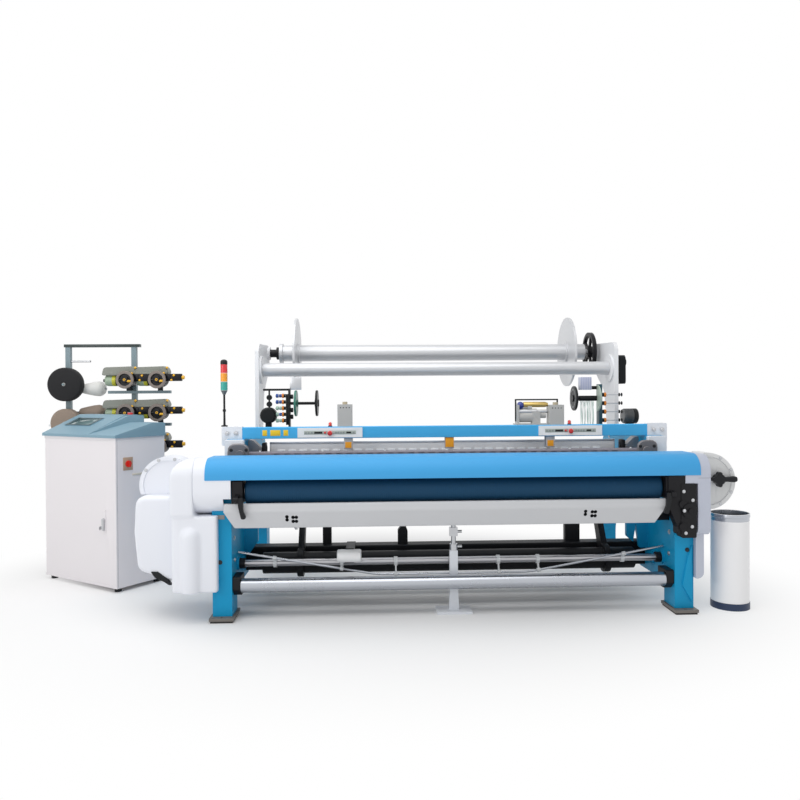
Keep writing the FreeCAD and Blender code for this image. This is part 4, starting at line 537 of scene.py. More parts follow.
dark_steel = finish("Dark steel paint", (0.007, 0.008, 0.010), 0.45, tone=0.2, relief=0.06,
                    shine=0.15)
stand_white = finish("Stand paint", (0.76, 0.79, 0.84), 0.38, tone=0.06)
soften("breast_beam", dark_steel, 0.003)
soften("centre_stand", stand_white, 0.002)
soften("stand_adjuster", plated, 0.001)

# ---- Cloth roller, pedal shaft and foot bar ------------------------------
# Chromed and ground round bars across the whole width. White clamps hold the
# thin foot bar's hangers on the pedal shaft.

chrome = finish("Chrome", (0.47, 0.49, 0.53), 0.28, metal=1.0, tone=0.04, size=8)
clamp_white = finish("Clamp paint", (0.66, 0.68, 0.70), 0.35, tone=0.06)
soften("cloth_roller_brackets", cast_black, 0.002)
soften("cloth_roller", chrome)
soften("pedal_shaft", ground_metal, 0.001)
soften("pedal_bearings", cast_black, 0.002)
soften("foot_bar", chrome, 0)
soften("pedal_clamps", clamp_white, 0.0012)

# ---- Rear girder, lubrication filter, rocker ------------------------------
# The black box girder ties the frames together low down. The white turned
# filter stands in front of it, and the rocker shaft behind carries the sley.

filter_white = finish("Filter paint", (0.80, 0.81, 0.82), 0.30, tone=0.04, coat=0.3)
soften("rear_girder", dark_steel, 0.003)
soften("oil_filter", filter_white)
soften("rocker_shaft", dark_steel, 0.003)

# ---- Temple rail, sley, reed and rapier guides ---------------------------
# Extruded rails carry the cloth's edge holders and the sley. The reed is a
# fine comb of flat steel dents, bound between two bars on the sley.


def line_group():
    """Fine lines across a length: a sine of the place, bent a little by noise."""
    group = new_group("Fine lines",
                      {"Along": 0.0, "Pitch": 0.002, "Waver": 0.0, "Colour": (0.5, 0.5, 0.5, 1),
                       "Line colour": (0.1, 0.1, 0.1, 1)},
                      {"Colour": "Color", "Height": "Float"})
    given = group.nodes.new("NodeGroupInput").outputs
    noise = add_node(group, "TexNoise", {"Vector": object_place(group), "Scale": 14.0})
    turns = add_math(group, "DIVIDE", given["Along"], given["Pitch"])
    angle = add_math(group, "MULTIPLY", turns, 2 * math.pi)
    bent = add_math(group, "MULTIPLY_ADD", noise.outputs["Fac"], given["Waver"], angle)
    height = add_math(group, "MULTIPLY_ADD", add_math(group, "SINE", bent), 0.5, 0.5)
    shade = add_node(group, "Mix", {"Factor": height}, data_type="RGBA")
    first_colour, second_colour, mixed_colour = 6, 7, 2
    feed(shade, {first_colour: given["Line colour"], second_colour: given["Colour"]})
    feed(group.nodes.new("NodeGroupOutput"),
         {"Colour": shade.outputs[mixed_colour], "Height": height})
    return group


fine_lines = line_group()


def lined(name, colour, line_colour, pitch, waver, roughness, ring_centre=None, relief=0.3):
    """Finish with fine lines across x, or in rings round a line along y through a centre."""
    material, shader = new_material(name)
    tree = material.node_tree
    if ring_centre:
        x, _, z = ring_centre
        flat = add_node(tree, "Mapping", {"Vector": object_place(tree), "Scale": (1, 0, 1),
                                          "Location": (-x, 0, -z)})
        along = add_node(tree, "VectorMath", {0: flat.outputs[0]},
                         operation="LENGTH").outputs["Value"]
    else:
        along = add_node(tree, "SeparateXYZ", {0: object_place(tree)}).outputs["X"]
    lines = add_node(tree, "Group", {"Along": along, "Pitch": pitch, "Waver": waver,
                                     "Colour": (*colour, 1), "Line colour": (*line_colour, 1)},
                     node_tree=fine_lines).outputs
    feed(shader, {"Roughness": roughness, "Base Color": lines["Colour"],
                  "Normal": raised(tree, lines["Height"], relief)})
    return material


alloy = finish("Milled alloy", (0.60, 0.61, 0.64), 0.36, metal=0.8, tone=0.10)
rail_grey = finish("Rail paint", (0.27, 0.25, 0.29), 0.42, tone=0.10)
guide_grey = finish("Guide casting", (0.33, 0.33, 0.34), 0.40, metal=0.5, tone=0.2)
soften("temple_rail", rail_grey)
soften("sley_beam", alloy, 0.002)
soften("rapier_guides", guide_grey, 0.002)
pin_white = finish("White plastic", (0.85, 0.86, 0.88), 0.35, tone=0.02)
rail_low, rail_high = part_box("temple_rail")
pins = [turned_shape((x, rail_low.y + 0.010, rail_high.z - 0.001), "z",
                     [(0, 0), (0, 0.007), (0.005, 0.007), (0.009, 0.004), (0.009, 0)], 16)
        for x in np.arange(-1.29, 1.30, 0.43)]
piece_of("rail_pins", pins, "loom", pin_white)
reed_low, reed_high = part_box("reed")
reed_middle = (reed_low.y + reed_high.y) / 2
baulk, end_bar, dent_depth, overlap = 0.015, 0.010, 0.0022, 0.002
bars = [block_shape(reed_low, (reed_high.x, reed_high.y, reed_low.z + baulk), 0.002),
        block_shape((reed_low.x, reed_low.y, reed_high.z - baulk), reed_high, 0.002)]
for x in (reed_low.x, reed_high.x - end_bar):
    bars.append(block_shape((x, reed_low.y, reed_low.z + overlap),
                            (x + end_bar, reed_high.y, reed_high.z - overlap), 0.001))
piece_of("reed_bars", bars, "sley", alloy)
dents = lined("Reed dents", (0.92, 0.895, 0.88), (0.68, 0.655, 0.65), 0.0045, 0.0, 0.5)
comb = block_shape((reed_low.x + 0.004, reed_middle - dent_depth, reed_low.z + baulk - overlap),
                   (reed_high.x - 0.004, reed_middle + dent_depth, reed_high.z - baulk + overlap),
                   0.0005)
piece_of("reed_dents", [comb], "sley", dents, ["reed"])
# The near-white blocks under the reed are painted highlights: a row of small bright glints along
# the sley, drawn as white blocks rather than a white part.
race_highlight_white = finish("Race painted highlight", (0.98, 0.98, 0.98), 0.35, tone=0.01)
race_highlight_low, race_highlight_high, race_highlight_pitch, race_highlight_length = 0.988, 1.005, 0.079, 0.056
race_highlight_blocks = [block_shape((x, reed_low.y - 0.006, race_highlight_low),
                           (x + race_highlight_length, reed_low.y + 0.001, race_highlight_high), 0.002)
               for x in np.arange(-1.20, 1.16, race_highlight_pitch)]
piece_of("race_highlight_blocks", race_highlight_blocks, "sley", race_highlight_white)
gripper_inner, gripper_outer = 1.266, 1.295
grippers = []
for side in (-1, 1):
    low, high = sorted((side * gripper_inner, side * gripper_outer))
    grippers.append(block_shape((low, 0.556, 0.905), (high, 0.628, 1.062), 0.006))
    grippers.append(turned_shape((side * (gripper_inner - 0.004), 0.592, 1.020), "x",
                                 plain_profile(0, side * 0.006, 0.020), 24))
piece_of("rapier_grippers", grippers, "loom", cast_black)

# ---- Beam posts and the rollers at the back ------------------------------
# Two cut plates stand on the frames and hold the guide roller and the pile
# beam. The beams are steel tubes with pressed flanges for the warp.

post_white = finish("Post paint", (0.80, 0.81, 0.83), 0.42, tone=0.05)
roller_paint = finish("Roller paint", (0.60, 0.61, 0.63), 0.32, metal=0.35, tone=0.03)
for node in ("right_post", "left_post"):
    soften(node, post_white)
for node in ("guide_roller", "pile_beam"):
    soften(node, roller_paint)
soften("beam_wheel", cast_black, 0.0012)
soften("guide_roller_drive", dark_steel, 0.002)
soften("ground_beam", roller_paint)
pile_axis = (0, 1.560, 1.748)
coupling = turned_shape(pile_axis, "x",
                        [(-1.388, 0), (-1.388, 0.033), (-1.318, 0.033), (-1.316, 0.052),
                         (-1.296, 0.052), (-1.294, 0.036), (-1.264, 0.036), (-1.264, 0)], 32)
piece_of("beam_coupling", [coupling], "pile", cast_black)
drive_face = 1.486
knobs = [turned_shape((drive_face, y, z), "x",
                      [(-0.002, 0), (-0.002, r), (0.009, r), (0.012, r - 0.005), (0.012, 0)], 24)
         for y, z, r in ((1.125, 1.640, 0.030), (1.235, 1.600, 0.034), (1.150, 1.540, 0.026),
                         (1.230, 1.505, 0.022))]
piece_of("drive_knobs", knobs, "loom", cast_black)

# ---- Drive housings and wheel covers -------------------------------------
# Moulded and pressed white covers at both sides. Each tape wheel runs under a
# round lid with screws in its rim, and a black crank turns the right one.


def moulded(node, material, grain=0.007, passes=12):
    """A copy of the node with every inner and outer corner blended, as a moulding has them."""
    piece = soften(node, material, 0)
    cells = piece.modifiers.new("Even skin", "REMESH")
    cells.mode = "VOXEL"
    cells.voxel_size = grain
    cells.use_smooth_shade = True
    blend = piece.modifiers.new("Blended corners", "SMOOTH")
    blend.factor = 0.5
    blend.iterations = passes


moulded("left_drive_housing", cover_white)
soften("left_wheel_cover", cover_white, 0.002)
side_grey = finish("Blue grey enamel", (0.50, 0.53, 0.62), 0.38, tone=0.05)
lid_grey = finish("Lid enamel", (0.72, 0.73, 0.73), 0.36, tone=0.05)
soften("right_cover", side_grey)
soften("right_wheel_cover", lid_grey, 0.002)
soften("hand_lever", black_plastic)
lid_z, screw_circle = 0.828, 0.169
lid_screws = []
for node, lid_x, angles in (("left_wheel_cover", -1.821, (75, 110, 145)),
                            ("right_wheel_cover", 1.622, (-60, -25, 25, 60))):
    for angle in np.radians(angles):
        lid_screws += screw_shapes(lid_x + screw_circle * math.cos(angle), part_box(node)[0].y,
                                   lid_z + screw_circle * math.sin(angle), "y", -1, 0.008, 0.005)
piece_of("lid_screws", lid_screws, "loom", plated)
cap_taupe = finish("Leg cap", (0.30, 0.27, 0.25), 0.5, tone=0.1)
leg_cap = block_shape((-1.494, -0.0625, 0.632), (-1.432, -0.050, 0.658), 0.001)
piece_of("left_leg_cap", [leg_cap], "loom", cap_taupe)
fork = slab_shape([(-1.905, 0.300), (-1.862, 0.300), (-1.800, 0.250), (-1.776, 0.214),
                   (-1.792, 0.214), (-1.818, 0.232), (-1.880, 0.262)], 0.006, -0.004, 0.030)
piece_of("housing_fork", [fork], "loom", black_plastic)
dark_metal = finish("Darkened steel", (0.035, 0.037, 0.042), 0.40, metal=0.6, tone=0.2, shine=0.3)
leg_front = -0.060
leg_plugs = []
for x, z in ((-1.462, 0.366), (1.470, 0.400)):
    leg_plugs += screw_shapes(x, leg_front, z, "y", -1, 0.010, 0.006)
piece_of("leg_plugs", leg_plugs, "loom", dark_metal)
seam_grey = finish("Seam shade", (0.20, 0.20, 0.22), 0.6)
cover_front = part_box("right_cover")[0].y
cover_seam = block_shape((1.5120, cover_front - 0.0003, 0.861),
                         (1.5896, cover_front + 0.001, 0.863), 0.0002)
piece_of("right_cover_seam", [cover_seam], "loom", seam_grey)

# ---- Stop buttons ---------------------------------------------------------
# Red mushroom heads on short collars, pushed in to stop the loom.

stop_red = finish("Stop red", (0.62, 0.010, 0.012), 0.30, tone=0.04, coat=0.3)
for node in ("left_stop_button", "right_stop_button"):
    soften(node, stop_red, 0.0012)

# ---- Signal tower -----------------------------------------------------------
# A thin black pole with a grey base, three stacked lamp glasses and a cap.

tower_black = finish("Tower plastic", (0.010, 0.011, 0.012), 0.36, tone=0.05, shine=0.25)
module_grey = finish("Tower base", (0.10, 0.12, 0.13), 0.36)
tower_place = (-1.536, 0.470, 0)
pole_bottom, pole_top, pole_radius = 1.183, 1.404, 0.007
collar_low, collar_high, collar_radius = 1.285, 1.303, 0.011
lamp_bottom, lamp_step, lamp_radius = 1.432, 0.060, 0.024
cap_bottom = lamp_bottom + 3 * lamp_step
pole = turned_shape(tower_place, "z",
                    [(pole_bottom, 0), (pole_bottom, 0.022), (pole_bottom + 0.008, 0.022),
                     (pole_bottom + 0.012, 0.008), (collar_low, pole_radius),
                     (collar_low + 0.002, collar_radius), (collar_high - 0.002, collar_radius),
                     (collar_high, pole_radius), (pole_top, pole_radius), (pole_top, 0)], 32)
cap = turned_shape(tower_place, "z",
                   [(cap_bottom, 0), (cap_bottom, lamp_radius), (cap_bottom + 0.020, lamp_radius),
                    (cap_bottom + 0.029, 0.019), (cap_bottom + 0.034, 0.008),
                    (cap_bottom + 0.034, 0)], 40)
piece_of("signal_tower_pole", [pole, cap], "loom", tower_black, ["signal_tower"])
base = turned_shape(tower_place, "z",
                    [(pole_top - 0.002, 0), (pole_top - 0.002, 0.008),
                     (lamp_bottom - 0.002, 0.0225), (lamp_bottom, 0.0225), (lamp_bottom, 0)], 40)
piece_of("signal_tower_base", [base], "loom", module_grey)
for level, (name, colour) in enumerate((("green_lamp", (0.02, 0.36, 0.30)),
                                        ("amber_lamp", (0.88, 0.33, 0.01)),
                                        ("red_lamp", (0.70, 0.02, 0.03)))):
    low = lamp_bottom + level * lamp_step
    high = low + lamp_step - 0.001
    ribs = [(low + 0.002 + k * 0.0055, lamp_radius - 0.0009 * (k % 2)) for k in range(11)]
    profile = [(low + 0.001, 0), (low + 0.001, lamp_radius - 0.001), *ribs,
               (high, lamp_radius - 0.001), (high, 0)]
    glass = finish(name + "_glass", colour, 0.22, tone=0.04, coat=0.4)
    piece_of(name, [turned_shape(tower_place, "z", profile, 40)], "loom", glass)

# ---- Units on the beam -------------------------------------------------------
# Two sheet steel boxes for the sensors and the yarn tension unit with its
# black hoop, a blue knob and two small reels.


def ball_profile(radius, steps):
    """Profile of a ball: a half circle from pole to pole."""
    return [(radius * math.cos(a), radius * math.sin(a)) for a in np.linspace(math.pi, 0, steps)]


unit_grey = finish("Unit paint", (0.46, 0.455, 0.44), 0.42, tone=0.06)
soften("beam_top_units", unit_grey, 0.002)
tan_paint = finish("Tan gland", (0.48, 0.42, 0.30), 0.45)
vent_half, gland_radius = 0.0035, 0.0174
vents, glands = [], []
for left, top, gland_x in ((-0.757, 1.330, -0.706), (0.720, 1.316, 0.772)):
    for x in (left + 0.022, left + 0.042, left + 0.062, left + 0.082):
        vents.append(block_shape((x - vent_half, 0.4432, top - 0.026),
                                 (x + vent_half, 0.4440, top - 0.019), 0.0003))
    glands.append(turned_shape((gland_x, 0.490, top), "z",
                               [(-0.001, 0), (-0.001, gland_radius), (0.0170, gland_radius),
                                (0.0184, 0.0155), (0.0184, 0)], 24))
piece_of("box_glands", glands, "loom", tan_paint)
piece_of("box_vents", vents, "loom", black_plastic)
hoop_y, hoop_half, hoop_gauge = 0.500, 0.006, 0.010
hoop_left, hoop_right, hoop_top = 0.488, 0.794, 1.358
hoop = [block_shape((x0, hoop_y - hoop_half, z0), (x1, hoop_y + hoop_half, hoop_top), 0.002)
        for x0, x1, z0 in ((hoop_left, hoop_left + hoop_gauge, 1.200),
                           (hoop_left, hoop_right, hoop_top - hoop_gauge),
                           (hoop_right - hoop_gauge, hoop_right, 1.300))]
piece_of("tension_hoop", hoop, "loom", black_plastic)
knob_blue = finish("Blue knob", (0.012, 0.035, 0.26), 0.30, coat=0.3)
ball = turned_shape((0.526, hoop_y, 1.313), "x", ball_profile(0.026, 13), 28)
piece_of("tension_ball", [ball], "loom", knob_blue)
brass = finish("Brass", (0.56, 0.40, 0.14), 0.30, metal=0.9, tone=0.2)
reel = turned_shape((0, hoop_y, 1.318), "x",
                    [(0.548, 0), (0.548, 0.017), (0.552, 0.019), (0.700, 0.019), (0.721, 0.012),
                     (0.721, 0)], 28)
piece_of("tension_reels", [reel], "loom", brass)
rod = turned_shape((0, hoop_y, 1.270), "x",
                   [(0.512, 0), (0.512, 0.019), (0.640, 0.019), (0.646, 0.012), (0.721, 0.012),
                    (0.721, 0)], 28)
rod_holder = block_shape((0.497, hoop_y - 0.010, 1.236), (0.513, hoop_y + 0.010, 1.330), 0.002)
piece_of("tension_rods", [rod, rod_holder], "loom", plated)

# ---- Left selvedge unit ------------------------------------------------------
# A small winder and spools of edge yarn stand on a shelf over the left edge.
# The plate carries a green disc and a black one on one shaft.

spool_orange = finish("Orange plastic", (0.80, 0.24, 0.02), 0.35)
spool_black = finish("Spool black", (0.007, 0.008, 0.009), 0.38, shine=0.22)
yarn_green = lined("Pale green yarn", (0.50, 0.66, 0.56), (0.30, 0.46, 0.38), 0.0030, 2.0, 0.8)
yarn_blue = lined("Blue yarn", (0.05, 0.12, 0.42), (0.02, 0.05, 0.20), 0.0030, 2.0, 0.8)
disc_green = finish("Green disc", (0.025, 0.17, 0.12), 0.36, tone=0.08)
shelf_grey = finish("Shelf paint", (0.52, 0.53, 0.55), 0.42, tone=0.05)
unit_y, shelf_low, shelf_top, shelf_half = 0.870, 1.097, 1.109, 0.035
on_shelf = shelf_top - 0.001


def unit_block(x0, x1, half_depth, z0, z1, edge=0.001):
    """Block of a selvedge unit, as deep to the front of its middle plane as to the rear."""
    return block_shape((x0, unit_y - half_depth, z0), (x1, unit_y + half_depth, z1), edge)


def bar_shape(x0, x1, y, z, radius, sides=20):
    """Round bar along the loom's width, with its end corners broken."""
    edge = min(0.0012, radius * 0.2)
    return turned_shape((0, y, z), "x", [(x0, 0), (x0, radius - edge), (x0 + edge, radius),
                                         (x1 - edge, radius), (x1, radius - edge), (x1, 0)], sides)


def ridges(first, pitch, count, foot, crest, width):
    """Profile of a row of ridges, each from its foot radius to its crest and back."""
    slope = 0.001
    return [(first + k * pitch + step, radius) for k in range(count)
            for step, radius in ((0, foot), (slope, crest), (width - slope, crest), (width, foot))]


def disc_shape(x, z, radius):
    """Thin disc with a hub on both faces and rounded edges."""
    hub, step, thick, edge = 0.026, 0.008, 0.016, 0.002
    return turned_shape((x, unit_y, z), "x",
                        [(-step, 0), (-step, hub), (0, hub), (0, radius - edge), (edge, radius),
                         (thick - edge, radius), (thick, radius - edge), (thick, hub),
                         (thick + step, hub), (thick + step, 0)], 56)


left_plate, left_top, left_disc_z = -1.140, 1.446, 1.335
piece_of("left_shelf", [unit_block(-1.470, -1.040, shelf_half, shelf_low, shelf_top)],
         "loom", shelf_grey, ["left_selvedge_unit"])
winder_x, winder_z = -1.290, 1.247
motor_radius, motor_length, fin_count = 0.060, 0.100, 9
motor_front = unit_y - motor_length / 2
motor = [(motor_front, 0), (motor_front, motor_radius * 0.82),
         (motor_front + 0.006, motor_radius * 0.9), (motor_front + 0.018, motor_radius * 0.9),
         *ridges(motor_front + 0.020, (motor_length - 0.026) / fin_count, fin_count,
                 motor_radius * 0.93, motor_radius, 0.006),
         (motor_front + motor_length, motor_radius * 0.9), (motor_front + motor_length, 0)]
dark = [unit_block(left_plate, left_plate + 0.012, shelf_half, on_shelf, left_top, 0.0015),
        unit_block(left_plate - 0.019, left_plate, 0.025, 1.175, 1.405, 0.0015),
        unit_block(winder_x - 0.041, left_plate + 0.011, 0.008, left_top - 0.016, left_top, 0.006),
        unit_block(winder_x - 0.022, winder_x + 0.022, 0.020, on_shelf, winder_z, 0.002),
        unit_block(winder_x, winder_x + 0.012, 0.006, winder_z, left_top - 0.008),
        bar_shape(left_plate - 0.016, left_plate + 0.004, unit_y, left_disc_z, 0.022),
        turned_shape((winder_x, 0, winder_z), "y", motor, 40)]
for z in (1.380, 1.330):
    dark.append(turned_shape((winder_x + 0.006, unit_y, z), "y",
                             [(-0.014, 0), (-0.014, 0.020), (-0.009, 0.020), (-0.006, 0.011),
                              (0.006, 0.011), (0.009, 0.020), (0.014, 0.020), (0.014, 0)], 24))
for z in (1.385, 1.285, 1.235):
    dark.append(bar_shape(left_plate + 0.011, left_plate + 0.033, unit_y, z, 0.017))
rod_y, spool_top, spool_pitch, bobbin_length = unit_y - 0.020, 1.392, 0.046, 0.019
blue_places = ((0, 0), (0, 1), (1, 0), (1, 1), (3, 1))
rods, oranges, greens, blues = [], [], [], []
for row in range(5):
    z = spool_top - spool_pitch * row
    rods.append(bar_shape(left_plate - 0.096, left_plate, rod_y, z, 0.005, 12))
    oranges.append(bar_shape(left_plate - 0.046, left_plate - 0.034, rod_y, z, 0.017))
    dark.append(bar_shape(left_plate - 0.034, left_plate - 0.020, rod_y, z, 0.013))
    for column, (reach, radius) in enumerate(((0.092, 0.0145), (0.068, 0.0125))):
        wound = blues if (row, column) in blue_places else greens
        wound.append(bar_shape(left_plate - reach, left_plate - reach + bobbin_length, rod_y, z,
                               radius))
rods.append(block_shape((left_plate + 0.011, rod_y, left_top - 0.010),
                        (left_plate + 0.097, rod_y + 0.008, 1.531), 0.0015))
piece_of("left_unit_body", dark, "loom", spool_black)
piece_of("left_unit_rods", rods, "loom", plated)
piece_of("left_orange_spools", oranges, "loom", spool_orange)
piece_of("left_green_bobbins", greens, "loom", yarn_green)
piece_of("left_blue_bobbins", blues, "loom", yarn_blue)
disc_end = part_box("left_selvedge_disc")[1].x
black_disc = [disc_shape(disc_end - 0.024, left_disc_z, 0.097),
              bar_shape(left_plate - 0.015, disc_end - 0.002, unit_y, left_disc_z, 0.011)]
piece_of("left_black_disc", black_disc, "left_leno", spool_black,
         ["left_selvedge_disc"])
piece_of("left_green_disc", [disc_shape(-1.094, left_disc_z, 0.097)], "left_leno", disc_green)

# ---- Right selvedge unit -----------------------------------------------------
# The same drive mirrored, with its drum of edge yarns shown: pale twines run
# from the drum down to the cloth, and bobbins wait on four thin rods.


def ring_profile(start, end, inner, outer):
    """Profile of a flat ring, closed all round."""
    return [(start, inner), (start, outer), (end, outer), (end, inner), (start, inner)]


def half_disc_shape(x0, x1, y, z, radius, parts=32):
    """Half disc towards the front: rows on its flat edge and its rim, joined all round."""
    angle = np.linspace(np.pi / 2, 3 * np.pi / 2, parts + 1)
    points = np.array([np.stack([np.full(parts + 1, x), y + reach * radius * np.cos(angle),
                                 z + radius * np.sin(angle)], -1)
                       for x, reach in ((x0, 0), (x0, 1), (x1, 1), (x1, 0))])
    index = np.arange(4 * (parts + 1)).reshape(4, parts + 1)
    after = np.roll(index, -1, axis=0)
    faces = np.stack([index[:, :-1], after[:, :-1], after[:, 1:], index[:, 1:]], -1)
    return points.reshape(-1, 3), faces.reshape(-1, 4)


def carried_shape(path, radius, sides=12):
    """Round bar: a circle carried along a path, set square to it with one fixed up direction."""
    tangent = np.gradient(path, axis=0)
    tangent /= np.linalg.norm(tangent, axis=1, keepdims=True)
    fixed_up = np.array([0.13, 0.29, 0.95])
    side = np.cross(tangent, fixed_up)
    side /= np.linalg.norm(side, axis=1, keepdims=True)
    top = np.cross(side, tangent)
    angle = np.linspace(0, 2 * np.pi, sides, endpoint=False)[None, :, None]
    points = path[:, None] + radius * (np.cos(angle) * side[:, None] + np.sin(angle) * top[:, None])
    points = np.concatenate([path[:1, None].repeat(sides, 1), points,
                             path[-1:, None].repeat(sides, 1)])
    return points.reshape(-1, 3), ring_faces(len(points), sides)


right_plate, right_top, right_disc_z, disc_x = 1.194, 1.463, 1.357, 1.005
drum_x = disc_x + 0.044
piece_of("right_shelf", [unit_block(disc_x, 1.470, shelf_half, shelf_low, shelf_top)],
         "loom", shelf_grey, ["right_selvedge_unit"])
plate_teal = finish("Teal plate", (0.012, 0.060, 0.085), 0.38, tone=0.08)
plate = unit_block(right_plate, right_plate + 0.025, shelf_half, on_shelf, right_top, 0.0015)
piece_of("right_unit_plate", [plate], "loom", plate_teal)
plate_green = finish("Grey green plate", (0.40, 0.49, 0.42), 0.40, tone=0.05)
piece_of("right_half_disc", [half_disc_shape(1.184, 1.195, unit_y, right_disc_z, 0.100)],
         "loom", plate_green)
box_blue = lined("Sensor box", (0.56, 0.58, 0.68), (0.34, 0.37, 0.55), 0.014, 0.0, 0.4)
piece_of("right_sensor_box", [unit_block(1.053, 1.140, 0.030, 1.421, 1.517, 0.003)],
         "loom", box_blue)
motor_place = (0, unit_y, 1.220)
motor_grey = finish("Motor fins", (0.12, 0.125, 0.13), 0.42, metal=0.3, tone=0.2)
fins = [(1.383, 0), (1.383, 0.050), (1.386, 0.053), (1.392, 0.053),
        *ridges(1.393, 0.0085, 8, 0.050, 0.057, 0.006),
        (1.462, 0.054), (1.488, 0.054), (1.493, 0.048), (1.493, 0)]
piece_of("right_motor_fins", [turned_shape(motor_place, "x", fins, 40)], "loom", motor_grey)
dark = [bar_shape(drum_x, right_plate + 0.001, unit_y, right_disc_z, 0.020),
        unit_block(1.0965, right_plate + 0.001, 0.010, 1.424, 1.450, 0.002),
        unit_block(1.410, 1.462, 0.024, on_shelf, motor_place[2], 0.002),
        turned_shape(motor_place, "x", [(1.456, 0), (1.456, 0.0575), (1.486, 0.0575),
                                        (1.4934, 0.050), (1.4934, 0)], 40)]
right_rod_top, right_rod_pitch = 1.383, 0.064
rods, oranges = [], []
for row in range(4):
    z = right_rod_top - right_rod_pitch * row
    rods.append(bar_shape(right_plate + 0.024, right_plate + 0.184, rod_y, z, 0.0035, 12))
    dark.append(bar_shape(right_plate + 0.025, right_plate + 0.040, rod_y, z, 0.015))
    oranges.append(bar_shape(right_plate + 0.040, right_plate + 0.056, rod_y, z, 0.017))
    for start in (right_plate + 0.152, right_plate + 0.170):
        dark.append(turned_shape((start, rod_y, z), "x",
                                 [(0, 0), (0.001, 0.008), (0.004, 0.0135), (0.009, 0.0135),
                                  (0.012, 0.008), (0.013, 0)], 20))
piece_of("right_unit_body", dark, "loom", spool_black)
piece_of("right_unit_rods", rods, "loom", plated)
piece_of("right_orange_spools", oranges, "loom", spool_orange)
twine_green = finish("Twine", (0.48, 0.70, 0.62), 0.75, tone=0.2)
twine_white = finish("White twine", (0.82, 0.84, 0.83), 0.75, tone=0.1)
twine_pitch, twine_radius, twine_sway = 0.0056, 0.0017, 0.006
run = np.linspace(0, 1, 14)
twines, white_twines = [], []
for k in range(19):
    sway = 1.6 * twine_sway * math.sin(1.7 * k)
    path = np.stack([drum_x + 0.012 + k * twine_pitch + sway * np.sin(np.pi * run),
                     unit_y - 0.016 * (1 - run) + twine_sway * math.sin(2.3 * k),
                     on_shelf + run * (right_disc_z - 0.008 - shelf_top)], -1)
    strand = carried_shape(path, twine_radius, 8)
    (white_twines if k % 4 == 1 else twines).append(strand)
piece_of("edge_twines", twines, "loom", twine_green)
piece_of("white_edge_twines", white_twines, "loom", twine_white)
right_disc = [disc_shape(disc_x, right_disc_z, 0.093),
              bar_shape(disc_x, drum_x + 0.080, unit_y, right_disc_z, 0.011)]
piece_of("right_disc", right_disc, "right_leno", spool_black,
         ["right_selvedge_disc"])
face_grey = finish("Disc face", (0.09, 0.095, 0.10), 0.38, tone=0.1)
face_ring = turned_shape((disc_x, unit_y, right_disc_z), "x",
                         ring_profile(-0.0015, 0.001, 0.060, 0.074), 56)
piece_of("right_disc_ring", [face_ring], "right_leno", face_grey)

# ---- Control cabinet ------------------------------------------------------
# Sheet steel cabinet with a hinged front door, its handle, the main switch
# on the side and a sloping blue console with a screen on top.

cabinet_paint = finish("Cabinet paint", (0.77, 0.74, 0.76), 0.45, tone=0.04, relief=0.04)
console_blue = finish("Console blue", (0.20, 0.33, 0.41), 0.42, tone=0.05, shine=0.35)
switch_red = finish("Switch red", (0.62, 0.02, 0.01), 0.3, tone=0.05)
soften("cabinet_body", cabinet_paint, 0.0025)
soften("cabinet_door", cabinet_paint, 0.002)
soften("door_handle", plated, 0.001)
soften("main_switch", switch_red, 0.001)
soften("cabinet_console", console_blue, 0.004, 3)
cabinet_turn, cabinet_corner = math.radians(-34.0), (-2.333, 0.620)
screen_lean, screen_place = math.radians(22.77), (-0.609, 0.177, 1.1993)


def at_cabinet(shape, lean=0.0, place=(0, 0, 0)):
    """A shape in the cabinet's own axes, leant back about x at a place, set on the floor."""
    points, faces = shape
    x, y, z = points.T
    y, z = (y * math.cos(lean) - z * math.sin(lean) + place[1],
            y * math.sin(lean) + z * math.cos(lean) + place[2])
    x = x + place[0]
    return np.stack([x * math.cos(cabinet_turn) - y * math.sin(cabinet_turn) + cabinet_corner[0],
                     x * math.sin(cabinet_turn) + y * math.cos(cabinet_turn) + cabinet_corner[1],
                     z], -1), faces


plate_tan = finish("Switch plate", (0.42, 0.30, 0.22), 0.40)
side_seam_grey = finish("Seam grey", (0.22, 0.22, 0.24), 0.6)
bar_tan = finish("Light bar", (0.62, 0.58, 0.50), 0.4)
for name, low, high, edge, material, slot in (
        ("switch_plate", (-0.002, 0.0615, 0.8655), (0.0041, 0.1425, 0.9585), 0.001, plate_tan,
         "switch_red"),
        ("cabinet_seams", (-0.001, 0.0115, 0.040), (0.0004, 0.0135, 1.092), 0.0001,
         side_seam_grey, "cabinet_grey"),
        ("cabinet_side_bar", (-0.002, 0.140, 0.824), (0.005, 0.222, 0.838), 0.002, bar_tan,
         "cabinet_grey")):
    piece_of(name, [at_cabinet(block_shape(low, high, edge))], "loom", material)
lock = turned_shape((-0.168, 0, 0.455), "y", [(-0.0055, 0), (-0.0055, 0.006), (-0.004, 0.009),
                                              (0.001, 0.009), (0.001, 0)], 24)
key = block_shape((-0.1695, -0.018, 0.436), (-0.1665, -0.005, 0.462), 0.0008)
piece_of("door_lock", [at_cabinet(lock), at_cabinet(key)], "door", plated)
foot = [(0.0003, 0), (0.0003, 0.0246), (0.022, 0.0246), (0.0297, 0.0246), (0.0297, 0)]
feet = [at_cabinet(turned_shape((x, y, 0), "z", foot, 32))
        for x in (-0.805, -0.045) for y in (0.045, 0.385)]
piece_of("cabinet_feet", feet, "loom", black_plastic)
border_slate = finish("Bezel", (0.055, 0.095, 0.110), 0.38)
glass_grey = finish("Screen glass", (0.14, 0.22, 0.23), 0.12, tone=0.3, size=9.0, coat=0.5)
border_x, border_y, glass_x, glass_y, glass_lap = 0.1545, 0.0675, 0.1270, 0.0510, 0.0005
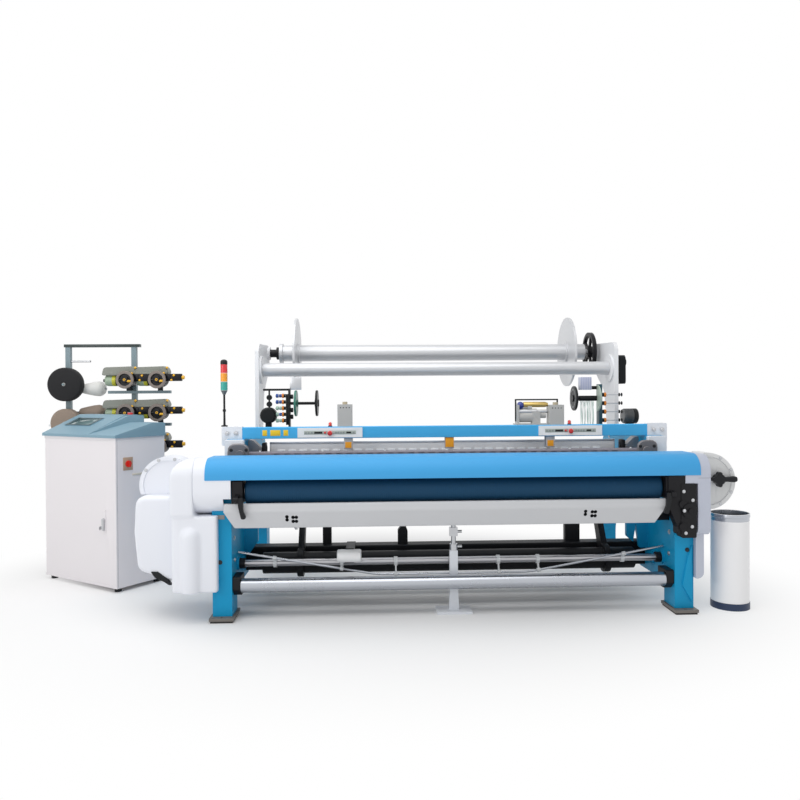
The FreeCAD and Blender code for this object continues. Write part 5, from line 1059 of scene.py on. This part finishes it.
border = [block_shape((x0, y0, 0.003), (x1, y1, 0.0070), 0.0008)
          for x0, x1, y0, y1 in ((-border_x, border_x, -border_y, -glass_y),
                                 (-border_x, border_x, glass_y, border_y),
                                 (-border_x, -glass_x, -border_y, border_y),
                                 (glass_x, border_x, -border_y, border_y))]
glass = block_shape((-glass_x - glass_lap, -glass_y - glass_lap, 0.001),
                    (glass_x + glass_lap, glass_y + glass_lap, 0.0035), 0.0004)
piece_of("screen_border", [at_cabinet(bar, screen_lean, screen_place) for bar in border], "loom",
         border_slate)
piece_of("screen_glass", [at_cabinet(glass, screen_lean, screen_place)], "loom", glass_grey)
mushroom = turned_shape((-0.335, 0.385, 1.2545), "z",
                        [(0, 0), (0, 0.0207), (0.0145, 0.0207), (0.0180, 0.0190),
                         (0.0193, 0.0150), (0.0193, 0)], 32)
piece_of("console_stop_head", [at_cabinet(mushroom)], "loom", stop_red)

# ---- Creel ------------------------------------------------------------------
# Posts with a dark bar on top, rails for the weft feeders and steel pegs for
# the yarn packages.

post_slate = finish("Creel post paint", (0.17, 0.24, 0.27), 0.38, tone=0.15)
creel_green = finish("Creel bar paint", (0.014, 0.026, 0.024), 0.36, tone=0.15)
soften("creel_stand", post_slate)
creel_y, bar_half, peg_radius = 1.560, 0.0244, 0.0083
top_bar = block_shape((-3.0704, creel_y - bar_half, 1.8068), (-2.4496, creel_y + bar_half, 1.8312),
                      0.002)
piece_of("creel_top_bar", [top_bar], "loom", creel_green)
pegs = [turned_shape((0, creel_y, z), "x",
                     [(start, 0), (start, peg_radius - 0.0013), (start + 0.002, peg_radius),
                      (start + length, peg_radius), (start + length, 0)], 20)
        for start, length, z in ((-3.2045, 0.146, 1.477), (-3.2045, 0.146, 1.160),
                                 (-3.020, 0.160, 1.690), (-2.740, 0.010, 1.461),
                                 (-2.744, 0.014, 1.266))]
piece_of("creel_pegs", pegs, "loom", plated)

# ---- Yarn packages ----------------------------------------------------------
# Two wound cheeses face the front and two cones lie behind them, all on pegs.
# The winding shows as fine rings on the faces and bands round the cones.

yarn_colours = {"black": ((0.010, 0.010, 0.012), (0.003, 0.003, 0.004)),
                "white": ((0.78, 0.78, 0.76), (0.62, 0.62, 0.60)),
                "brown": ((0.33, 0.265, 0.215), (0.22, 0.17, 0.135))}
front, rear, tube_bore = 1.436, 1.526, 0.0084
tubes = []
for name, x, z, radius, colour, taken in (
        ("upper_cheese", -3.032, 1.497, 0.138, "black", ["yarn_packages"]),
        ("lower_cheese", -3.030, 1.180, 0.118, "brown", [])):
    wound = turned_shape((x, 0, z), "y",
                         [(front, peg_radius), (front, radius - 0.016),
                          (front + 0.004, radius - 0.006), (front + 0.014, radius),
                          (rear - 0.014, radius), (rear - 0.004, radius - 0.006),
                          (rear, radius - 0.016), (rear, peg_radius), (front, peg_radius)], 72)
    yarn = lined(name + "_yarn", *yarn_colours[colour], 0.0034, 3.0, 0.85, (x, 0, z), 0.5)
    piece_of(name, [wound], "loom", yarn, taken)
    tubes.append(turned_shape((x, 0, z), "y", ring_profile(1.4335, 1.440, tube_bore, 0.0135), 32))
piece_of("cheese_tubes", tubes, "loom", unit_grey)
for name, x, z, colour in (("upper_cone", -2.948, 1.461, "white"),
                           ("lower_cone", -2.952, 1.266, "brown")):
    cone = turned_shape((x, creel_y, z), "x",
                        [(0, tube_bore), (0, 0.022), (0.003, 0.027), (0.012, 0.034),
                         (0.060, 0.046), (0.120, 0.058), (0.160, 0.062), (0.180, 0.057),
                         (0.198, 0.044), (0.206, 0.034), (0.206, tube_bore), (0, tube_bore)], 56)
    yarn = lined(name + "_yarn", *yarn_colours[colour], 0.0046, 5.0, 0.85, relief=0.4)
    piece_of(name, [cone], "loom", yarn)

# ---- Weft feeders -----------------------------------------------------------
# Six feeders in three rows. Each has a grey housing over a black drum, a motor
# with a yellow band, a winding ring and an arm with yellow guide eyes.

feeder_y, ring_y, drum_radius = 1.480, 1.376, 0.060
housing = ((-0.204, 0.044), (-0.190, 0.104), (0.060, 0.112), (0.084, 0.060), (0.060, 0.036),
           (-0.190, 0.036))
cap_profile = [(0, 0), (0, 0.032), (0.003, 0.038), (0.010, 0.043), (0.024, 0.046),
               (0.062, 0.046), (0.062, 0)]
band_profile = [(0.060, 0), (0.060, 0.045), (0.064, 0.0465), (0.088, 0.0465), (0.092, 0.045),
                (0.092, 0)]
drum_profile = [(ring_y + 0.018, 0), (ring_y + 0.018, drum_radius - 0.006),
                (ring_y + 0.022, drum_radius),
                *ridges(ring_y + 0.030, 0.012, 9, drum_radius, drum_radius - 0.0025, 0.005),
                (feeder_y + 0.044, drum_radius), (feeder_y + 0.044, 0)]
nose_profile = [(-0.006, 0), (-0.006, 0.022), (-0.002, 0.026), (0.024, 0.026), (0.024, 0)]
ring_section = [(0, 0.050), (0, 0.069), (0.004, 0.072), (0.014, 0.072), (0.018, 0.069),
                (0.018, 0.050), (0, 0.050)]
front_eye = [(-0.008, 0.005), (-0.008, 0.009), (-0.004, 0.012), (-0.004, 0.005),
             (-0.008, 0.005)]
side_eye = [(0, 0), (0, 0.013), (0.004, 0.0165), (0.018, 0.0165), (0.024, 0.012), (0.024, 0)]
frame_blocks = ((-0.067, -0.040, feeder_y - 0.040, feeder_y + 0.040, -0.040, 0.038, 0.003),
                (-0.060, 0.060, ring_y + 0.002, ring_y + 0.014, -0.007, 0.007, 0.002),
                (0.040, 0.190, feeder_y - 0.060, feeder_y - 0.024, -0.012, 0.048, 0.006),
                (0.070, 0.100, feeder_y - 0.064, feeder_y - 0.058, -0.002, 0.040, 0.003),
                (-0.030, 0.010, creel_y - 0.054, creel_y - 0.030, -0.088, -0.030, 0.003))
guide_balls = ((0.072, -0.056, 0.098), (0.046, -0.064, 0.052), (0.128, -0.064, 0.034),
               (0.108, -0.062, -0.004))
shells, motor_caps, bands, blacks, rings, eyes = [], [], [], [], [], []
for z in (1.531, 1.262, 0.985):
    for x in (-2.522, -2.265):
        shells.append(slab_shape([(x + dx, z + dz) for dx, dz in housing], 0.024,
                                 feeder_y - 0.052, feeder_y + 0.052, 0.010))
        shells.append(block_shape((x - 0.150, feeder_y - 0.0535, z + 0.046),
                                  (x + 0.020, feeder_y - 0.045, z + 0.060), 0.002))
        motor_place = (x - 0.186, feeder_y, z - 0.004)
        motor_caps.append(turned_shape(motor_place, "x", cap_profile, 40))
        bands.append(turned_shape(motor_place, "x", band_profile, 40))
        blacks += [turned_shape(motor_place, "x", plain_profile(-0.017, 0.001, 0.014), 20),
                   turned_shape(motor_place, "x", plain_profile(0.090, 0.122, 0.044), 40),
                   turned_shape((x, 0, z), "y", drum_profile, 40),
                   turned_shape((x, ring_y, z), "y", nose_profile, 28)]
        for left, right, front, rear, low, high, edge in frame_blocks:
            blacks.append(block_shape((x + left, front, z + low), (x + right, rear, z + high),
                                      edge))
        rings.append(turned_shape((x, ring_y, z), "y", ring_section, 56))
        eyes += [turned_shape((x, ring_y, z), "y", front_eye, 24),
                 block_shape((x + 0.018, ring_y - 0.004, z - 0.020),
                             (x + 0.050, ring_y + 0.004, z - 0.002), 0.004),
                 turned_shape((x + 0.186, feeder_y - 0.042, z + 0.018), "x", side_eye, 24)]
        for dx, dy, dz in guide_balls:
            eyes.append(turned_shape((x + dx, feeder_y + dy, z + dz), "y",
                                     ball_profile(0.010, 9), 18))
shell_grey = finish("Feeder housing", (0.22, 0.23, 0.20), 0.40, tone=0.08)
cap_green = finish("Feeder motor cap", (0.33, 0.42, 0.31), 0.38, tone=0.08)
band_olive = finish("Feeder band", (0.52, 0.50, 0.03), 0.38, tone=0.10)
feeder_black = finish("Feeder black", (0.007, 0.007, 0.010), 0.34, tone=0.2, shine=0.25)
ring_brown = finish("Feeder ring", (0.20, 0.165, 0.145), 0.36, tone=0.08)
eye_yellow = finish("Feeder guide eyes", (0.85, 0.46, 0.02), 0.28, tone=0.05)
piece_of("feeder_housings", shells, "loom", shell_grey, ["weft_feeders"])
piece_of("feeder_motor_caps", motor_caps, "loom", cap_green)
piece_of("feeder_bands", bands, "loom", band_olive)
piece_of("feeder_drums", blacks, "loom", feeder_black)
piece_of("feeder_rings", rings, "loom", ring_brown)
piece_of("feeder_guide_eyes", eyes, "loom", eye_yellow)

# ---- Waste can --------------------------------------------------------------
# Rolled sheet can with a chromed rim, a dark liner and a dark blue base band.

can_white = finish("Can enamel", (0.90, 0.90, 0.91), 0.30, tone=0.03)
band_navy = finish("Base band", (0.012, 0.030, 0.080), 0.4)
liner_dark = finish("Can liner", (0.03, 0.032, 0.036), 0.6, tone=0.3)
soften("waste_can", can_white)
can_x, can_y, can_top = 1.806, 0.062, 0.613
rim = turned_shape((can_x, can_y, can_top), "z",
                   [(-0.046, 0.1168), (-0.046, 0.1177), (-0.0250, 0.1177), (-0.0210, 0.1211),
                    (-0.0020, 0.1211), (0.0004, 0.1198), (0.0004, 0.1142), (-0.010, 0.1136),
                    (-0.046, 0.1136), (-0.046, 0.1168)], 96)
piece_of("can_rim", [rim], "loom", chrome)
base_band = turned_shape((can_x, can_y, 0), "z",
                         [(0.0004, 0.1180), (0.0004, 0.1193), (0.0448, 0.1193), (0.0453, 0.1168),
                          (0.0004, 0.1168)], 96)
piece_of("can_base_band", [base_band], "loom", band_navy)
liner = turned_shape((can_x, can_y, 0), "z",
                     [(0.0032, 0), (0.0032, 0.1137), (0.566, 0.1137), (0.566, 0.1131),
                      (0.0042, 0.1131), (0.0042, 0)], 72)
piece_of("can_liner", [liner], "loom", liner_dark)

# ---- Feet --------------------------------------------------------------------
# Thick steel plates on ribbed rubber pads, one under each end of a frame.

pad_rubber = finish("Pad rubber", (0.018, 0.018, 0.019), 0.7, tone=0.2, relief=0.2)
plate_grey = finish("Worn plate", (0.17, 0.155, 0.14), 0.55, tone=0.3, relief=0.2)
soften("foot_plates", plate_grey, 0.002)
soften("foot_pads", pad_rubber, 0.002)

# ---- Studio ------------------------------------------------------------------
# Pale floor, a broad soft lamp overhead and one in front, white all round. The
# floor fades to plain white with the distance from the loom.

white = (1, 1, 1, 1)
floor_material, floor_shader = new_material("Studio floor")
feed(floor_shader, {"Base Color": (0.88, 0.88, 0.88, 1), "Roughness": 0.9,
                    "Specular IOR Level": 0.0})
tree = floor_material.node_tree
oval = add_node(tree, "Mapping", {"Vector": object_place(tree), "Location": (0.20, -0.30, 0),
                                  "Scale": (0.30, 0.42, 0)})
away = add_node(tree, "VectorMath", {0: oval.outputs[0]}, operation="LENGTH")
fade = add_node(tree, "MapRange", {"Value": away.outputs["Value"], "From Min": 0.45,
                                   "From Max": 1.05}, interpolation_type="SMOOTHSTEP")
plain_white = add_node(tree, "Emission", {"Color": white})
mixed = add_node(tree, "MixShader", {"Fac": fade.outputs[0], 1: floor_shader.outputs[0],
                                     2: plain_white.outputs[0]})
feed(tree.nodes["Material Output"], {"Surface": mixed.outputs[0]})
floor_reach = 60.0
floor_mesh = bpy.data.meshes.new("Floor")
corners = floor_reach * np.array([[-1, -1, 0], [1, -1, 0], [1, 1, 0], [-1, 1, 0]])
floor_mesh.from_pydata(corners.tolist(), [], [(0, 1, 2, 3)])
floor_mesh.materials.append(floor_material)
floor_piece = bpy.data.objects.new("Floor", floor_mesh)
bpy.context.scene.collection.objects.link(floor_piece)


def soft_lamp(name, place, target, size, power):
    """Rectangular area lamp turned to face a point."""
    light = bpy.data.lights.new(name, "AREA")
    light.shape = "RECTANGLE"
    light.size, light.size_y = size
    light.energy = power
    lamp = bpy.data.objects.new(name, light)
    direction = Vector(target) - Vector(place)
    lamp.matrix_world = (Matrix.Translation(place)
                         @ direction.to_track_quat("-Z", "Y").to_matrix().to_4x4())
    bpy.context.scene.collection.objects.link(lamp)


middle = (cad_box[0] + cad_box[1]) / 2
soft_lamp("overhead_lamp", (middle.x - 0.8, middle.y - 1.2, 4.6), (middle.x, middle.y, 0.6),
          (6.5, 4.5), 160)
soft_lamp("front_lamp", (middle.x - 4.6, -4.2, 2.8), (middle.x, 0.4, 0.7), (3.4, 2.4), 78)
world = bpy.data.worlds.new("Studio")
bpy.context.scene.world = world
world.use_nodes = True
tree = world.node_tree
tree.nodes.clear()
surround = add_node(tree, "Background", {"Color": white, "Strength": 0.47})
backdrop = add_node(tree, "Background", {"Color": white, "Strength": 1.0})
ray = add_node(tree, "LightPath", {}).outputs
seen = add_math(tree, "MAXIMUM", ray["Is Camera Ray"], ray["Is Transmission Ray"])
seen_or_mirrored = add_math(tree, "MAXIMUM", seen, ray["Is Glossy Ray"])
mixed = add_node(tree, "MixShader", {"Fac": seen_or_mirrored, 1: surround.outputs[0],
                                     2: backdrop.outputs[0]})
add_node(tree, "OutputWorld", {"Surface": mixed.outputs[0]})

# ---- Camera --------------------------------------------------------------------
# Eye-level view from the front left, as the loom is seen from an aisle.

yaw, pitch, roll = math.radians(2.1), math.radians(0.45), math.radians(-0.41)
eye, focal_length = (-0.507, -4.560, 1.397), 32.535
forward = Vector((math.sin(yaw) * math.cos(pitch), math.cos(yaw) * math.cos(pitch),
                  -math.sin(pitch)))
right = Vector((math.cos(yaw), -math.sin(yaw), 0))
up = right.cross(forward)
turned_right = right * math.cos(roll) + up * math.sin(roll)
turned_up = up * math.cos(roll) - right * math.sin(roll)
camera_data = bpy.data.cameras.new("Camera")
camera_data.lens = focal_length
camera_data.sensor_width = 36.0
camera_data.clip_end = 200.0
camera = bpy.data.objects.new("Camera", camera_data)
turn = Matrix((turned_right, turned_up, -forward)).transposed()
camera.matrix_world = Matrix.Translation(eye) @ turn.to_4x4()
bpy.context.scene.collection.objects.link(camera)
bpy.context.scene.camera = camera
bpy.context.scene.view_settings.view_transform = "Standard"
